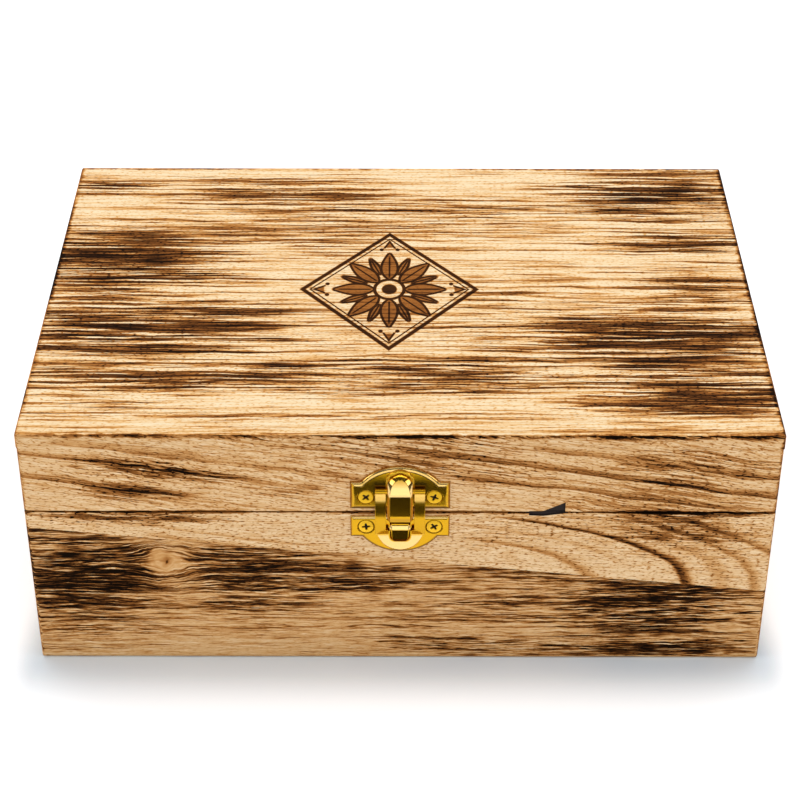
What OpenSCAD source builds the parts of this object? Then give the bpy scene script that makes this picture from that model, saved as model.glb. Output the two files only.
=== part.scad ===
// Wooden keepsake box with a hinged lid and a pressed toggle latch.
// Origin: centre of the underside. X runs along the width, Y from front to back, Z up.
// Latch shapes are drawn as they are seen from the front: x across, y above the seam,
// z out of the wood. Their side profiles are drawn as [out of the wood, above the seam].

/* [Box] */
// Outer width of the body
box_w = 250; // [190:1:340]
// Outer depth of the body
box_d = 179; // [130:1:240]
// Height of the base up to its rim
base_h = 64.5; // [50:0.5:100]
// Height of the lid's frame under the top panel
lid_frame_h = 25.7; // [23:0.1:45]
// Thickness of the walls
wall_t = 9; // [8.5:0.5:13]
// Gap between the two rims while the lid is shut
seam_gap = 0.3; // [0.2:0.05:0.6]
// How deep each side board is let into the front and back boards
corner_rebate = 4.5; // [3:0.5:6]
// Rounding of the upright corners and the bottom edges
corner_r = 1.6; // [0.8:0.1:3]
// Rounding of the edges along the seam
seam_edge_r = 0.4; // [0.2:0.1:0.8]

/* [Panels] */
// Thickness of the bottom panel, glued under the walls
bottom_t = 4; // [3:0.5:8]
// Thickness of the top panel
top_t = 5.5; // [4:0.5:9]
// How far the top panel stands past the walls
top_overhang = 0.2; // [0:0.1:2]
// Rounding of the top panel's upper edges
top_edge_r = 0.9; // [0.4:0.1:2]
// Width of the stave glued along the front of the top panel
top_stave_w = 12.2; // [8:0.1:40]
// How far below the rim the front board's glue line starts, at the left end
glue_drop_left = 6.5; // [3:0.5:20]
// How far below the rim the front board's glue line ends, at the right end
glue_drop_right = 33.7; // [20:0.1:42]
// Middle of the bark pocket at the seam, from the centre
pocket_x = 48.8; // [28:0.1:75]
// Width of the bark pocket
pocket_w = 12; // [6:0.5:16]
// Reach of the bark pocket below the base's rim
pocket_low = 1.4; // [0.5:0.1:3]
// Reach of the bark pocket above the lid's lower edge
pocket_high = 4.1; // [1:0.1:6]
// Depth of the bark pocket
pocket_depth = 0.8; // [0.3:0.1:2]

/* [Hinges] */
// Distance of each hinge from the centre
hinge_x = 74; // [40:1:80]
// Length of a hinge
hinge_len = 25; // [18:1:36]
// Thickness of a leaf
leaf_t = 1; // [0.8:0.1:1.5]
// Reach of a leaf from the pin's axis
leaf_reach = 6.4; // [5.8:0.1:6.5]
// Outer radius of the knuckles
knuckle_r = 2.1; // [1.8:0.1:2.5]
// Knuckles in one hinge
knuckles = 5; // [3:2:7]
// Gap between neighbouring knuckles
knuckle_gap = 0.15; // [0.1:0.05:0.3]
// Radius of the hinge pin
hinge_pin_r = 0.9; // [0.7:0.05:1.1]
// Play of the pin in its knuckles
hinge_play = 0.05; // [0.02:0.01:0.1]
// How far the pin's axis lies inside the back face
pivot_inset = 2; // [1.6:0.1:3]
// Angle at which the two back edges meet and stop the lid
stop_angle = 100.5; // [95:0.5:110]

/* [Latch plates] */
// Width of both plates
plate_w = 33; // [28:0.5:40]
// Gap between the seam and the lid plate
lid_plate_gap = 1.9; // [1:0.1:3]
// Height of the lid plate's ears above the seam
lid_ear_h = 13; // [11:0.5:15]
// Height of the lid plate's arch above the seam
lid_arch_h = 19.4; // [18.5:0.1:22]
// Radius of the lid plate's arch
lid_arch_r = 16.6; // [15:0.1:20]
// Rise of the lid plate above the wood
lid_plate_t = 1; // [0.8:0.1:1.1]
// Width of the lid plate's pressed bevel
lid_bevel = 1.5; // [0.8:0.1:2]
// Gap between the seam and the base plate
base_plate_gap = 1.3; // [1:0.1:1.9]
// Depth of the base plate's ears below the seam
base_ear_h = 9.9; // [8.5:0.1:12]
// Depth of the base plate's arch below the seam
base_arch_h = 16.3; // [14:0.1:18]
// Radius of the base plate's arch
base_arch_r = 15.4; // [14:0.1:20]
// Rise of the base plate above the wood
base_plate_t = 0.8; // [0.6:0.1:0.9]
// Width of the base plate's pressed bevel
base_bevel = 0.6; // [0.3:0.1:1]

/* [Latch mechanism] */
// Width of the hook on the lid plate
hook_w = 8.4; // [7.6:0.1:8.8]
// How far the hook stands out of the wood
hook_out = 4.8; // [4.2:0.1:6]
// Width of the tongue on the base plate
tongue_w = 6.9; // [6:0.1:7.1]
// How far the tongue stands out of the wood
tongue_out = 3.6; // [3:0.1:3.6]
// Lowest point of the tongue below the seam
tongue_low = 10.9; // [10:0.1:11.5]
// Distance of the loop's axis from the wood
loop_out = 2.2; // [2.2:0.1:2.6]
// Height of the loop's axis above the seam
loop_axis_h = 10.3; // [9.5:0.1:11]
// Radius of the loop's crossbar
loop_bar_r = 0.9; // [0.7:0.05:0.95]
// Play of the crossbar in the hook
loop_play = 0.08; // [0.03:0.01:0.1]
// Width of the loop over its two straps
loop_w = 16.5; // [15:0.1:17]
// Width of the loop's window
loop_window_w = 9.3; // [9:0.1:9.8]
// Thickness of the loop's sheet
loop_t = 0.9; // [0.7:0.1:1]
// Depth of the loop's fold below the seam
fold_low = 7.6; // [7:0.1:8]
// Distance of the fold's middle from the wood
fold_out = 1.75; // [1.7:0.05:2]
// Radius of the straps' outward curve
strap_r = 45; // [35:1:80]
// Tilt of the lip away from the wood
lip_tilt = 54; // [50:1:70]
// Length of the lip from the fold to its tip
lip_len = 5.6; // [5:0.1:7]
// Width of the bar that closes the lip
lip_bar = 2.6; // [2:0.1:2.8]

/* [Screws] */
// Distance of the latch screws from the centre
latch_screw_x = 11.3; // [11.2:0.1:12.5]
// Height of the lid plate's screws above the seam
lid_screw_h = 6.9; // [5:0.1:8.5]
// Depth of the base plate's screws below the seam
base_screw_h = 5.5; // [4.5:0.1:6]
// Radius of a latch screw's head
latch_head_r = 2.5; // [2:0.1:2.5]
// Radius of a latch screw's shank
latch_shank_r = 1.1; // [0.8:0.1:1.3]
// Length of a latch screw in the wood
latch_screw_len = 7; // [5:0.5:8]
// Radius of a hinge screw's head
hinge_head_r = 1.5; // [1.2:0.1:1.6]
// Radius of a hinge screw's shank
hinge_shank_r = 0.8; // [0.6:0.1:0.9]
// Length of a hinge screw in the wood
hinge_screw_len = 8; // [5:0.5:12]
// Play of a screw in its hole
screw_play = 0.05; // [0.02:0.01:0.1]
// Turn of the latch screws' cross slots; each screw has its own
cross_turn = 42; // [0:1:90]

/* [Hidden] */
$fn = 64;

wood_colour = [0.84, 0.68, 0.44];
pale_wood_colour = [0.90, 0.77, 0.54];
gold_colour = [0.86, 0.66, 0.13];
steel_colour = [0.72, 0.60, 0.28];

seam_z = base_h + seam_gap / 2;          // middle of the seam
lid_z = base_h + seam_gap;               // underside of the lid's frame
top_z = lid_z + lid_frame_h;             // underside of the top panel
half_w = box_w / 2;
half_d = box_d / 2;
lap_t = wall_t - corner_rebate;          // what is left of a front or back board at its lap
pivot_y = half_d - pivot_inset;
groove_play = 0.25;                      // air round the knuckles in the wood
mortise_play = 0.1;                      // air round a leaf in its mortise
hinge_screw_x = hinge_len * 0.3;         // screws from the middle of a hinge
hinge_screw_y = (knuckle_r + leaf_reach) / 2;
bevel_rise = 0.9;                        // rise of the bevels round the hook and the tongue
sheet_root = 0.35;                       // hook and tongue start this far out of the wood
hook_crown = lid_arch_h - 2.3;           // top of the hook, under the plate's arch
arch_mid = hook_crown - hook_w / 2;      // centre of the hook's round top
hook_foot = 1;                           // depth of the hook's foot below the seam
hook_chin = 2.8;                         // height of the slope under the hook's face
hook_face = 10;                          // height at which the hook's face starts to lean back
hook_brink = 15.2;                       // height of the end of its lean
hook_soft = 0.4;                         // rounding of the hook's side profile
brow_gap = 0.25;                         // slot between the hook and its brow
brow_w = 1.9;                            // width of the brow at its foot
brow_top_w = 0.4;                        // width of the brow at its top
brow_rise = 0.8;                         // rise of the brow above the plate
tongue_top = 2.6;                        // depth of the tongue's ledge below the seam
tongue_brow = 1.3;                       // height of the slope under the ledge
tongue_ledge = 0.7;                      // depth of that slope
tongue_face = 9;                         // depth at which the tongue's face ends
tongue_soft = 0.3;                       // rounding of the tongue's side profile
lip_play = 0.35;                         // air between the lip and the tongue
lip_centre = 2.5;                        // the lip's round is centred this far above the fold
lip_window_r = 2;                        // rounding of the lip's window round the tongue
fold_bead = 0.08;                        // the fold is this much thicker than the sheet on each side
window_foot = 2;                         // height of the bridge that closes the loop's window
turn_step = 27;                          // difference between one screw's slot and the next
eps = 0.01;                              // cuts run this far past a face

// ---- small helpers -------------------------------------------------------

// What lies outside a round of radius r in the corner at [x, y]; dx and dy point inwards.
module corner_waste(x, y, dx, dy, r) {
    if (r > 0)
        translate([x, y])
            difference() {
                translate([dx > 0 ? -eps : -r, dy > 0 ? -eps : -r])
                    square(r + eps);
                translate([dx * r, dy * r])
                    circle(r);
            }
}

// A rectangle standing on y = 0, centred in x, with its own radius below and above.
module soft_rect(w, h, r_low, r_high) {
    difference() {
        translate([-w / 2, 0])
            square([w, h]);
        for (side = [-1, 1]) {
            corner_waste(side * w / 2, 0, -side, 1, r_low);
            corner_waste(side * w / 2, h, -side, -1, r_high);
        }
    }
}

// A block standing on z = 0 whose outer edges are sanded round.
module soft_block(w, d, h, r_low, r_high) {
    intersection() {
        translate([0, -d / 2, 0])
            linear_extrude(h)
                soft_rect(w, d, corner_r, corner_r);
        translate([0, d / 2, 0])
            rotate([90, 0, 0])
                linear_extrude(d)
                    soft_rect(w, h, r_low, r_high);
        translate([-w / 2, 0, 0])
            rotate([90, 0, 90])
                linear_extrude(w)
                    soft_rect(d, h, r_low, r_high);
    }
}

// Puts latch shapes on the front face: x across, y above the seam, z out of the wood.
module on_front() {
    translate([0, -half_d, seam_z])
        rotate([90, 0, 0])
            children();
}

// Extrudes a side profile, drawn as [out, up], across the latch.
module across(w) {
    rotate([0, -90, 0])
        linear_extrude(w, center = true)
            children();
}

// Runs along X through the point [out, up] of the latch.
module cross_rod(w, out, up, r) {
    translate([0, up, out])
        rotate([0, 90, 0])
            cylinder(h = w, r = r, center = true);
}

// ---- wooden boards -------------------------------------------------------

// The solid outer form of the base or of the lid's frame, from which the boards are cut.
module frame_form(h, r_low, r_high) {
    soft_block(box_w, box_d, h, r_low, r_high);
}

// Raw front (side = -1) or back (side = 1) board with the laps for the side boards.
module lapped_board(side, h) {
    board_y = side > 0 ? half_d - wall_t : -half_d;
    lap_y = side > 0 ? board_y - eps : board_y + lap_t;
    difference() {
        translate([-half_w, board_y, 0])
            cube([box_w, wall_t, h]);
        for (lap_x = [-half_w - eps, half_w - wall_t])
            translate([lap_x, lap_y, -eps])
                cube([wall_t + eps, corner_rebate + eps, h + 2 * eps]);
    }
}

// Raw left (side = -1) or right (side = 1) board, let into the laps.
module side_board(side, h) {
    translate([side > 0 ? half_w - wall_t : -half_w, lap_t - half_d, 0])
        cube([wall_t, box_d - 2 * lap_t, h]);
}

// The base's outer form between two heights.
module base_layer(z0, z1) {
    intersection() {
        frame_form(base_h, corner_r, seam_edge_r);
        translate([-box_w, -box_d, z0])
            cube([2 * box_w, 2 * box_d, z1 - z0]);
    }
}

module base_board_form() {
    base_layer(bottom_t, base_h + eps);
}

// Everything above (or below) the slanted glue line of the base's front board.
module glue_side(above) {
    left = base_h - glue_drop_left;
    right = base_h - glue_drop_right;
    edge = above ? base_h + 1 : -1;
    translate([0, 1 - half_d + wall_t, 0])
        rotate([90, 0, 0])
            linear_extrude(wall_t + 2)
                polygon([[-half_w, left], [half_w, right], [half_w + 1, right], [half_w + 1, edge],
                         [-half_w - 1, edge], [-half_w - 1, left]]);
}

// One half of the bark pocket, a cut in the front face whose reach rises from start to finish.
module pocket_cut(z, start, finish) {
    translate([pocket_x, pocket_depth - half_d, z])
        rotate([90, 0, 0])
            linear_extrude(pocket_depth + 1)
                polygon([[-pocket_w / 2, -sign(start)], [-pocket_w / 2, start], [-pocket_w / 10, start * 1.2],
                         [pocket_w / 2, finish], [pocket_w / 2, -sign(start)]]);
}

module base_pocket() {
    pocket_cut(base_h, -pocket_low * 0.8, -pocket_low * 0.15);
}

module lid_pocket() {
    pocket_cut(lid_z, pocket_high * 0.1, pocket_high);
}

module base_front() {
    difference() {
        intersection() {
            base_board_form();
            lapped_board(-1, base_h);
        }
        on_front()
            latch_screw_holes(-base_screw_h);
        base_pocket();
    }
}

module base_front_upper_stave() {
    color(pale_wood_colour)
        intersection() {
            base_front();
            glue_side(true);
        }
}

module base_front_lower_stave() {
    color(wood_colour)
        intersection() {
            base_front();
            glue_side(false);
        }
}

module base_back_board() {
    color(wood_colour)
        difference() {
            intersection() {
                base_board_form();
                lapped_board(1, base_h);
            }
            hinge_room(-1);
            back_chamfer(-1);
        }
}

module base_left_board() {
    color(wood_colour)
        intersection() {
            base_board_form();
            side_board(-1, base_h);
        }
}

module base_right_board() {
    color(wood_colour)
        intersection() {
            base_board_form();
            side_board(1, base_h);
        }
}

module base_bottom_panel() {
    color(pale_wood_colour)
        base_layer(-eps, bottom_t);
}

module lid_form() {
    translate([0, 0, lid_z])
        frame_form(lid_frame_h, seam_edge_r, 0);
}

module lid_front_board() {
    color(pale_wood_colour)
        difference() {
            intersection() {
                lid_form();
                translate([0, 0, lid_z])
                    lapped_board(-1, lid_frame_h);
            }
            on_front()
                latch_screw_holes(lid_screw_h);
            lid_pocket();
        }
}

module lid_back_board() {
    color(wood_colour)
        difference() {
            intersection() {
                lid_form();
                translate([0, 0, lid_z])
                    lapped_board(1, lid_frame_h);
            }
            hinge_room(1);
            back_chamfer(1);
        }
}

module lid_side(side) {
    intersection() {
        lid_form();
        translate([0, 0, lid_z])
            side_board(side, lid_frame_h);
    }
}

module lid_left_board() {
    color(wood_colour)
        lid_side(-1);
}

module lid_right_board() {
    color(wood_colour)
        lid_side(1);
}

module top_form() {
    translate([0, 0, top_z])
        soft_block(box_w + 2 * top_overhang, box_d + 2 * top_overhang, top_t, 0, top_edge_r);
}

// The front stave of the top panel, or the rest of it.
module top_part(front) {
    seam_y = top_stave_w - half_d - top_overhang;
    far = box_w + box_d;
    intersection() {
        top_form();
        translate([-far, front ? seam_y - far : seam_y, top_z - 1])
            cube([2 * far, far, top_t + 2]);
    }
}

module lid_top_panel() {
    color(pale_wood_colour)
        top_part(false);
}

module lid_top_front_stave() {
    color(wood_colour)
        top_part(true);
}

// ---- hinges --------------------------------------------------------------

// Centres its children on a hinge's pin axis.
module at_hinge(side) {
    translate([side * hinge_x, pivot_y, seam_z])
        children();
}

module pin_cylinder(r, len) {
    rotate([0, 90, 0])
        cylinder(h = len, r = r, center = true);
}

// Middle of knuckle number i along the hinge.
function knuckle_x(i) = (i + 0.5) * hinge_len / knuckles - hinge_len / 2;

// A leaf: level = -1 lies in the base's rim, level = 1 in the lid's rim.
module hinge_leaf(level) {
    knuckle_len = hinge_len / knuckles;
    plate_z = level > 0 ? seam_gap / 2 : -seam_gap / 2 - leaf_t;
    own = level > 0 ? 1 : 0;
    difference() {
        union() {
            translate([-hinge_len / 2, -leaf_reach, plate_z])
                cube([hinge_len, leaf_reach, leaf_t]);
            for (i = [own : 2 : knuckles - 1])
                translate([knuckle_x(i), 0, 0])
                    pin_cylinder(knuckle_r, knuckle_len);
        }
        for (i = [1 - own : 2 : knuckles - 1])
            translate([knuckle_x(i), 0, 0])
                pin_cylinder(knuckle_r + groove_play, knuckle_len + knuckle_gap);
        pin_cylinder(hinge_pin_r + hinge_play, hinge_len + 2);
        for (side = [-1, 1])
            translate([side * hinge_screw_x, -hinge_screw_y, 0])
                leaf_screw_hole(level);
    }
}

module leaf_screw_hole(level) {
    face = seam_gap / 2;
    mirror([0, 0, level > 0 ? 0 : 1]) {
        translate([0, 0, face - eps])
            cylinder(h = leaf_t + eps, r1 = hinge_head_r + screw_play, r2 = hinge_shank_r + screw_play);
        translate([0, 0, face])
            cylinder(h = leaf_t + 1, r = hinge_shank_r + screw_play);
    }
}

// Countersunk screws of one leaf, heads flush with the rim.
module leaf_screws(level) {
    mirror([0, 0, level > 0 ? 0 : 1])
        for (side = [-1, 1])
            translate([side * hinge_screw_x, -hinge_screw_y, seam_gap / 2])
                difference() {
                    translate([0, 0, leaf_t])
                        mirror([0, 0, 1])
                            screw_body(hinge_head_r, hinge_shank_r, leaf_t, hinge_screw_len);
                    cross_slot(hinge_head_r, 45);
                }
}

// The cross slot of a screw whose head's face lies on z = 0 and whose shank points along +z.
module cross_slot(head_r, turn) {
    slot_w = head_r * 0.26;
    slot_l = head_r * 1.15;
    slot_depth = head_r * 0.18;
    for (quarter = [0, 90])
        rotate([0, 0, turn + quarter])
            translate([-slot_l / 2, -slot_w / 2, -eps])
                cube([slot_l, slot_w, slot_depth + eps]);
}

// Mortises, grooves and screw holes of both hinges in the base's (-1) or the lid's (1) back board.
module hinge_room(level) {
    for (side = [-1, 1])
        at_hinge(side) {
            pin_cylinder(knuckle_r + groove_play, hinge_len + 2 * mortise_play);
            mirror([0, 0, level > 0 ? 0 : 1])
                translate([-hinge_len / 2 - mortise_play, -leaf_reach - mortise_play, 0])
                    cube([hinge_len + 2 * mortise_play, leaf_reach + mortise_play, seam_gap / 2 + leaf_t]);
            mirror([0, 0, level > 0 ? 0 : 1])
                for (end = [-1, 1])
                    translate([end * hinge_screw_x, -hinge_screw_y, 0])
                        cylinder(h = seam_gap / 2 + leaf_t + hinge_screw_len, r = hinge_shank_r + screw_play);
        }
}

// The slanted cut along a back edge; the base's and the lid's faces meet at the stop angle.
module back_chamfer(level) {
    drop = (pivot_inset + 1) * tan(stop_angle / 2);
    translate([-half_w - 1, pivot_y, seam_z])
        rotate([90, 0, 90])
            linear_extrude(box_w + 2)
                polygon([[0, 0], [pivot_inset + 1, level * drop], [pivot_inset + 1, 0]]);
}

module hinge_pin() {
    pin_cylinder(hinge_pin_r, hinge_len);
}

module left_hinge_base_leaf() {
    color(gold_colour)
        at_hinge(-1)
            hinge_leaf(-1);
}

module left_hinge_lid_leaf() {
    color(gold_colour)
        at_hinge(-1)
            hinge_leaf(1);
}

module left_hinge_pin() {
    color(steel_colour)
        at_hinge(-1)
            hinge_pin();
}

module right_hinge_base_leaf() {
    color(gold_colour)
        at_hinge(1)
            hinge_leaf(-1);
}

module right_hinge_lid_leaf() {
    color(gold_colour)
        at_hinge(1)
            hinge_leaf(1);
}

module right_hinge_pin() {
    color(steel_colour)
        at_hinge(1)
            hinge_pin();
}

module hinge_base_screws() {
    color(steel_colour)
        for (side = [-1, 1])
            at_hinge(side)
                leaf_screws(-1);
}

module hinge_lid_screws() {
    color(steel_colour)
        for (side = [-1, 1])
            at_hinge(side)
                leaf_screws(1);
}

// ---- latch ---------------------------------------------------------------

// A rectangular pressing from y0 to y1 with a bevel all round.
module pressed_block(w, y0, y1, rise, bevel) {
    intersection() {
        rotate([90, 0, 0])
            translate([0, 0, -max(abs(y0), abs(y1)) - 1])
                linear_extrude(2 * max(abs(y0), abs(y1)) + 2)
                    polygon([[-w / 2, 0], [w / 2, 0], [w / 2 - bevel, rise], [bevel - w / 2, rise]]);
        across(w + 2)
            polygon([[0, y0], [0, y1], [rise, y1 - bevel], [rise, y0 + bevel]]);
    }
}

// A plate seen from the front, drawn upwards: straight foot, two ears and an arch above them.
module pressed_plate(gap, ear, arch, arch_r, rise, bevel) {
    pressed_block(plate_w, gap, ear, rise, bevel);
    intersection() {
        translate([0, arch - arch_r, 0])
            cylinder(h = rise, r1 = arch_r, r2 = arch_r - bevel);
        translate([-plate_w / 2, (gap + ear) / 2, 0])
            cube([plate_w, arch, rise]);
    }
}

module latch_screw_holes(up) {
    for (side = [-1, 1])
        translate([side * latch_screw_x, up, -latch_screw_len])
            cylinder(h = latch_screw_len + 1, r = latch_shank_r + screw_play);
}

// Countersunk holes of a plate of the given rise.
module plate_screw_holes(up, rise) {
    latch_screw_holes(up);
    for (side = [-1, 1])
        translate([side * latch_screw_x, up, 0])
            cylinder(h = rise + eps, r1 = latch_shank_r + screw_play, r2 = latch_head_r + screw_play);
}

// A countersunk screw: its head's face lies at z = head_h and its shank goes down to z = -len.
module screw_body(head_r, shank_r, head_h, len) {
    rotate_extrude()
        polygon([[0, -len], [shank_r, -len], [shank_r, 0], [head_r, head_h], [0, head_h]]);
}

module latch_screws(up, rise, first) {
    for (side = [0, 1])
        translate([(2 * side - 1) * latch_screw_x, up, 0])
            difference() {
                screw_body(latch_head_r, latch_shank_r, rise, latch_screw_len);
                translate([0, 0, rise])
                    mirror([0, 0, 1])
                        cross_slot(latch_head_r, cross_turn + (first + side) * turn_step);
            }
}

// A bevelled bar seen from the front, with a round end; dir = 1 puts the round end on top.
module bevelled_tongue(w, foot, mid, out, dir) {
    r = w / 2;
    shoulder = out - bevel_rise;
    union() {
        rotate([90, 0, 0])
            translate([0, 0, -max(foot, mid)])
                linear_extrude(abs(foot - mid))
                    polygon([[-r, 0], [r, 0], [r, shoulder], [r - bevel_rise, out], [bevel_rise - r, out],
                             [-r, shoulder]]);
        intersection() {
            translate([0, mid, 0]) {
                cylinder(h = shoulder, r = r);
                translate([0, 0, shoulder])
                    cylinder(h = bevel_rise, r1 = r, r2 = r - bevel_rise);
            }
            translate([-r, dir > 0 ? mid - eps : mid - 2 * r + eps, 0])
                cube([w, 2 * r, out]);
        }
    }
}

// The hook: its face stands up from the seam and leans back into the arch of the plate.
module hook() {
    intersection() {
        bevelled_tongue(hook_w, -hook_foot, arch_mid, hook_out, 1);
        across(hook_w + 1)
            offset(r = hook_soft)
                offset(delta = -hook_soft)
                    polygon([[sheet_root, -hook_foot * 0.3], [hook_out / 2, -hook_foot],
                             [hook_out * 0.75, -hook_foot], [hook_out, hook_chin - hook_foot],
                             [hook_out, hook_face], [hook_out - 2, hook_brink], [hook_out / 3, hook_crown],
                             [sheet_root, hook_crown]]);
    }
}

// The raised brow round the hook's top end.
module hook_brow() {
    inner = hook_w / 2 + brow_gap;
    translate([0, arch_mid, 0])
        intersection() {
            difference() {
                cylinder(h = lid_plate_t + brow_rise, r1 = inner + brow_w, r2 = inner + brow_top_w);
                translate([0, 0, lid_plate_t / 2])
                    cylinder(h = lid_plate_t + brow_rise, r = inner);
            }
            translate([-hook_w, -1, 0])
                cube([2 * hook_w, 2 * hook_w, 2 * hook_out]);
        }
}

module latch_lid_plate() {
    color(gold_colour)
        on_front()
            difference() {
                union() {
                    pressed_plate(lid_plate_gap, lid_ear_h, lid_arch_h, lid_arch_r, lid_plate_t, lid_bevel);
                    hook_brow();
                    hook();
                }
                plate_screw_holes(lid_screw_h, lid_plate_t);
                cross_rod(hook_w + 2, loop_out, loop_axis_h, loop_bar_r + loop_play);
            }
}

// The tongue: a ledge under the hook, an upright face and a round lower end.
module tongue() {
    intersection() {
        bevelled_tongue(tongue_w, -tongue_top, tongue_w / 2 - tongue_low, tongue_out, -1);
        across(tongue_w + 1)
            offset(r = tongue_soft)
                offset(delta = -tongue_soft)
                    polygon([[sheet_root, -tongue_top], [tongue_out - tongue_ledge, -tongue_top],
                             [tongue_out, -tongue_top - tongue_brow], [tongue_out, -tongue_face],
                             [tongue_out * 2 / 3, -tongue_low], [sheet_root, -tongue_low]]);
    }
}

module latch_base_plate() {
    color(gold_colour)
        on_front()
            difference() {
                union() {
                    mirror([0, 1, 0])
                        pressed_plate(base_plate_gap, base_ear_h, base_arch_h, base_arch_r, base_plate_t,
                                      base_bevel);
                    tongue();
                }
                plate_screw_holes(-base_screw_h, base_plate_t);
            }
}

// The straps' side profile: an arc that bulges outwards between the crossbar and the fold.
module strap_profile() {
    top = [loop_out, loop_axis_h];
    foot = [fold_out, -fold_low];
    chord = norm(top - foot);
    mid = (top + foot) / 2;
    lean = atan((foot[0] - top[0]) / (top[1] - foot[1]));
    back = sqrt(strap_r * strap_r - chord * chord / 4);
    intersection() {
        translate(mid)
            rotate(lean)
                translate([-back, 0])
                    difference() {
                        circle(strap_r + loop_t / 2, $fn = 360);
                        circle(strap_r - loop_t / 2, $fn = 360);
                    }
        translate([0, -fold_low])
            square([loop_out * 4, fold_low + loop_axis_h]);
    }
}

// The lip in its own plane, pointing down from the fold at y = 0.
module lip_outline() {
    outer_r = lip_len + lip_centre;
    inner_r = tongue_w / 2 + lip_play;
    difference() {
        intersection() {
            translate([0, lip_centre])
                circle(outer_r);
            translate([-loop_w, -lip_len - 1])
                square([2 * loop_w, lip_len + 1]);
        }
        translate([0, lip_bar - lip_len])
            soft_rect(2 * inner_r, lip_len + 1, lip_window_r, 0);
    }
}

module latch_loop() {
    roll_r = loop_bar_r + 0.2;
    neck_w = tongue_w + 2 * lip_play;
    fold_w = 2 * sqrt(pow(lip_len + lip_centre, 2) - pow(lip_centre, 2)) - loop_t / 2;
    color(gold_colour)
        on_front()
            union() {
                cross_rod(loop_window_w + loop_t, loop_out, loop_axis_h, loop_bar_r);
                difference() {
                    union() {
                        across(loop_w)
                            strap_profile();
                        cross_rod(loop_w, loop_out, loop_axis_h, roll_r);
                    }
                    translate([-loop_window_w / 2, window_foot - fold_low, -1])
                        cube([loop_window_w, 2 * loop_axis_h + fold_low, 4 * loop_out]);
                    translate([-neck_w / 2, -fold_low - 1, -1])
                        cube([neck_w, 2 * window_foot, 4 * loop_out]);
                }
                for (side = [-1, 1])
                    translate([side * (fold_w + neck_w) / 4, 0, 0])
                        cross_rod((fold_w - neck_w) / 2, fold_out, -fold_low, loop_t / 2 + fold_bead);
                translate([0, -fold_low, fold_out])
                    rotate([-lip_tilt, 0, 0])
                        translate([0, 0, -loop_t / 2])
                            linear_extrude(loop_t)
                                lip_outline();
            }
}

module latch_lid_screws() {
    color(gold_colour)
        on_front()
            latch_screws(lid_screw_h, lid_plate_t, 0);
}

module latch_base_screws() {
    color(gold_colour)
        on_front()
            latch_screws(-base_screw_h, base_plate_t, 2);
}

base_front_upper_stave();
base_front_lower_stave();
base_back_board();
base_left_board();
base_right_board();
base_bottom_panel();
lid_front_board();
lid_back_board();
lid_left_board();
lid_right_board();
lid_top_panel();
lid_top_front_stave();
left_hinge_base_leaf();
left_hinge_lid_leaf();
left_hinge_pin();
right_hinge_base_leaf();
right_hinge_lid_leaf();
right_hinge_pin();
hinge_base_screws();
hinge_lid_screws();
latch_lid_plate();
latch_base_plate();
latch_loop();
latch_lid_screws();
latch_base_screws();
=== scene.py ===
import bpy
import bmesh
import math
import numpy as np
from functools import reduce
from mathutils import Matrix, Vector


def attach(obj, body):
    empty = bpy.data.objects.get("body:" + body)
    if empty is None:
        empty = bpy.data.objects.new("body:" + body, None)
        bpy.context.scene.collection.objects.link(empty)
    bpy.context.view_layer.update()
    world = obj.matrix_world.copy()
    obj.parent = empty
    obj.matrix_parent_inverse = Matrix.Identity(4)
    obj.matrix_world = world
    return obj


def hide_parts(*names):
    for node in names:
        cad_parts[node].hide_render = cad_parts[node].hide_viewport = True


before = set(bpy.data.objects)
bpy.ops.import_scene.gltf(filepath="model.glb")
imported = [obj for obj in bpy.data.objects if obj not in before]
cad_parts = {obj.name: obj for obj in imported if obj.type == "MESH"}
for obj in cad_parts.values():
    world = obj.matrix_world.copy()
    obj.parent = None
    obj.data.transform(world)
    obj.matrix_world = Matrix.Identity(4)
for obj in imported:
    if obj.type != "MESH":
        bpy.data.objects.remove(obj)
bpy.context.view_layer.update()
mm = 0.001

# the box's main sizes, in millimetres as in the CAD part
boxSize = {"width": 250, "depth": 179, "seam": 64.65, "height": 96.0}
halfWidth = boxSize["width"] / 2
halfDepth = boxSize["depth"] / 2


class Field:
    # A value, vector or colour that changes over a surface: a socket and the node tree it is in.
    # The usual signs build math nodes, so a pattern reads as its formula.
    def __init__(self, tree, socket):
        self.tree = tree
        self.socket = socket

    def __add__(self, other):
        return calc("ADD", self, other)

    def __radd__(self, other):
        return calc("ADD", other, self)

    def __sub__(self, other):
        return calc("SUBTRACT", self, other)

    def __rsub__(self, other):
        return calc("SUBTRACT", other, self)

    def __mul__(self, other):
        return calc("MULTIPLY", self, other)

    def __truediv__(self, other):
        return calc("DIVIDE", self, other)

    def __abs__(self):
        return calc("ABSOLUTE", self)


def feed(node, sockets):
    # a field is linked, anything else becomes the socket's own value
    for key, value in sockets.items():
        if isinstance(value, Field):
            value.tree.links.new(value.socket, node.inputs[key])
        else:
            node.inputs[key].default_value = value


def put(tree, kind, sockets=None, **settings):
    node = tree.nodes.new(kind)
    for key, value in settings.items():
        setattr(node, key, value)
    feed(node, sockets or {})
    return node


def treeOf(values):
    return next(value.tree for value in values if isinstance(value, Field))


def calc(operation, *values, clamp=False):
    tree = treeOf(values)
    node = put(tree, "ShaderNodeMath", dict(enumerate(values)), operation=operation, use_clamp=clamp)
    return Field(tree, node.outputs[0])


def vectorCalc(operation, *values, result="Vector"):
    tree = treeOf(values)
    node = put(tree, "ShaderNodeVectorMath", dict(enumerate(values)), operation=operation)
    return Field(tree, node.outputs[result])


def highest(*values):
    return reduce(lambda a, b: calc("MAXIMUM", a, b), values)


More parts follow.
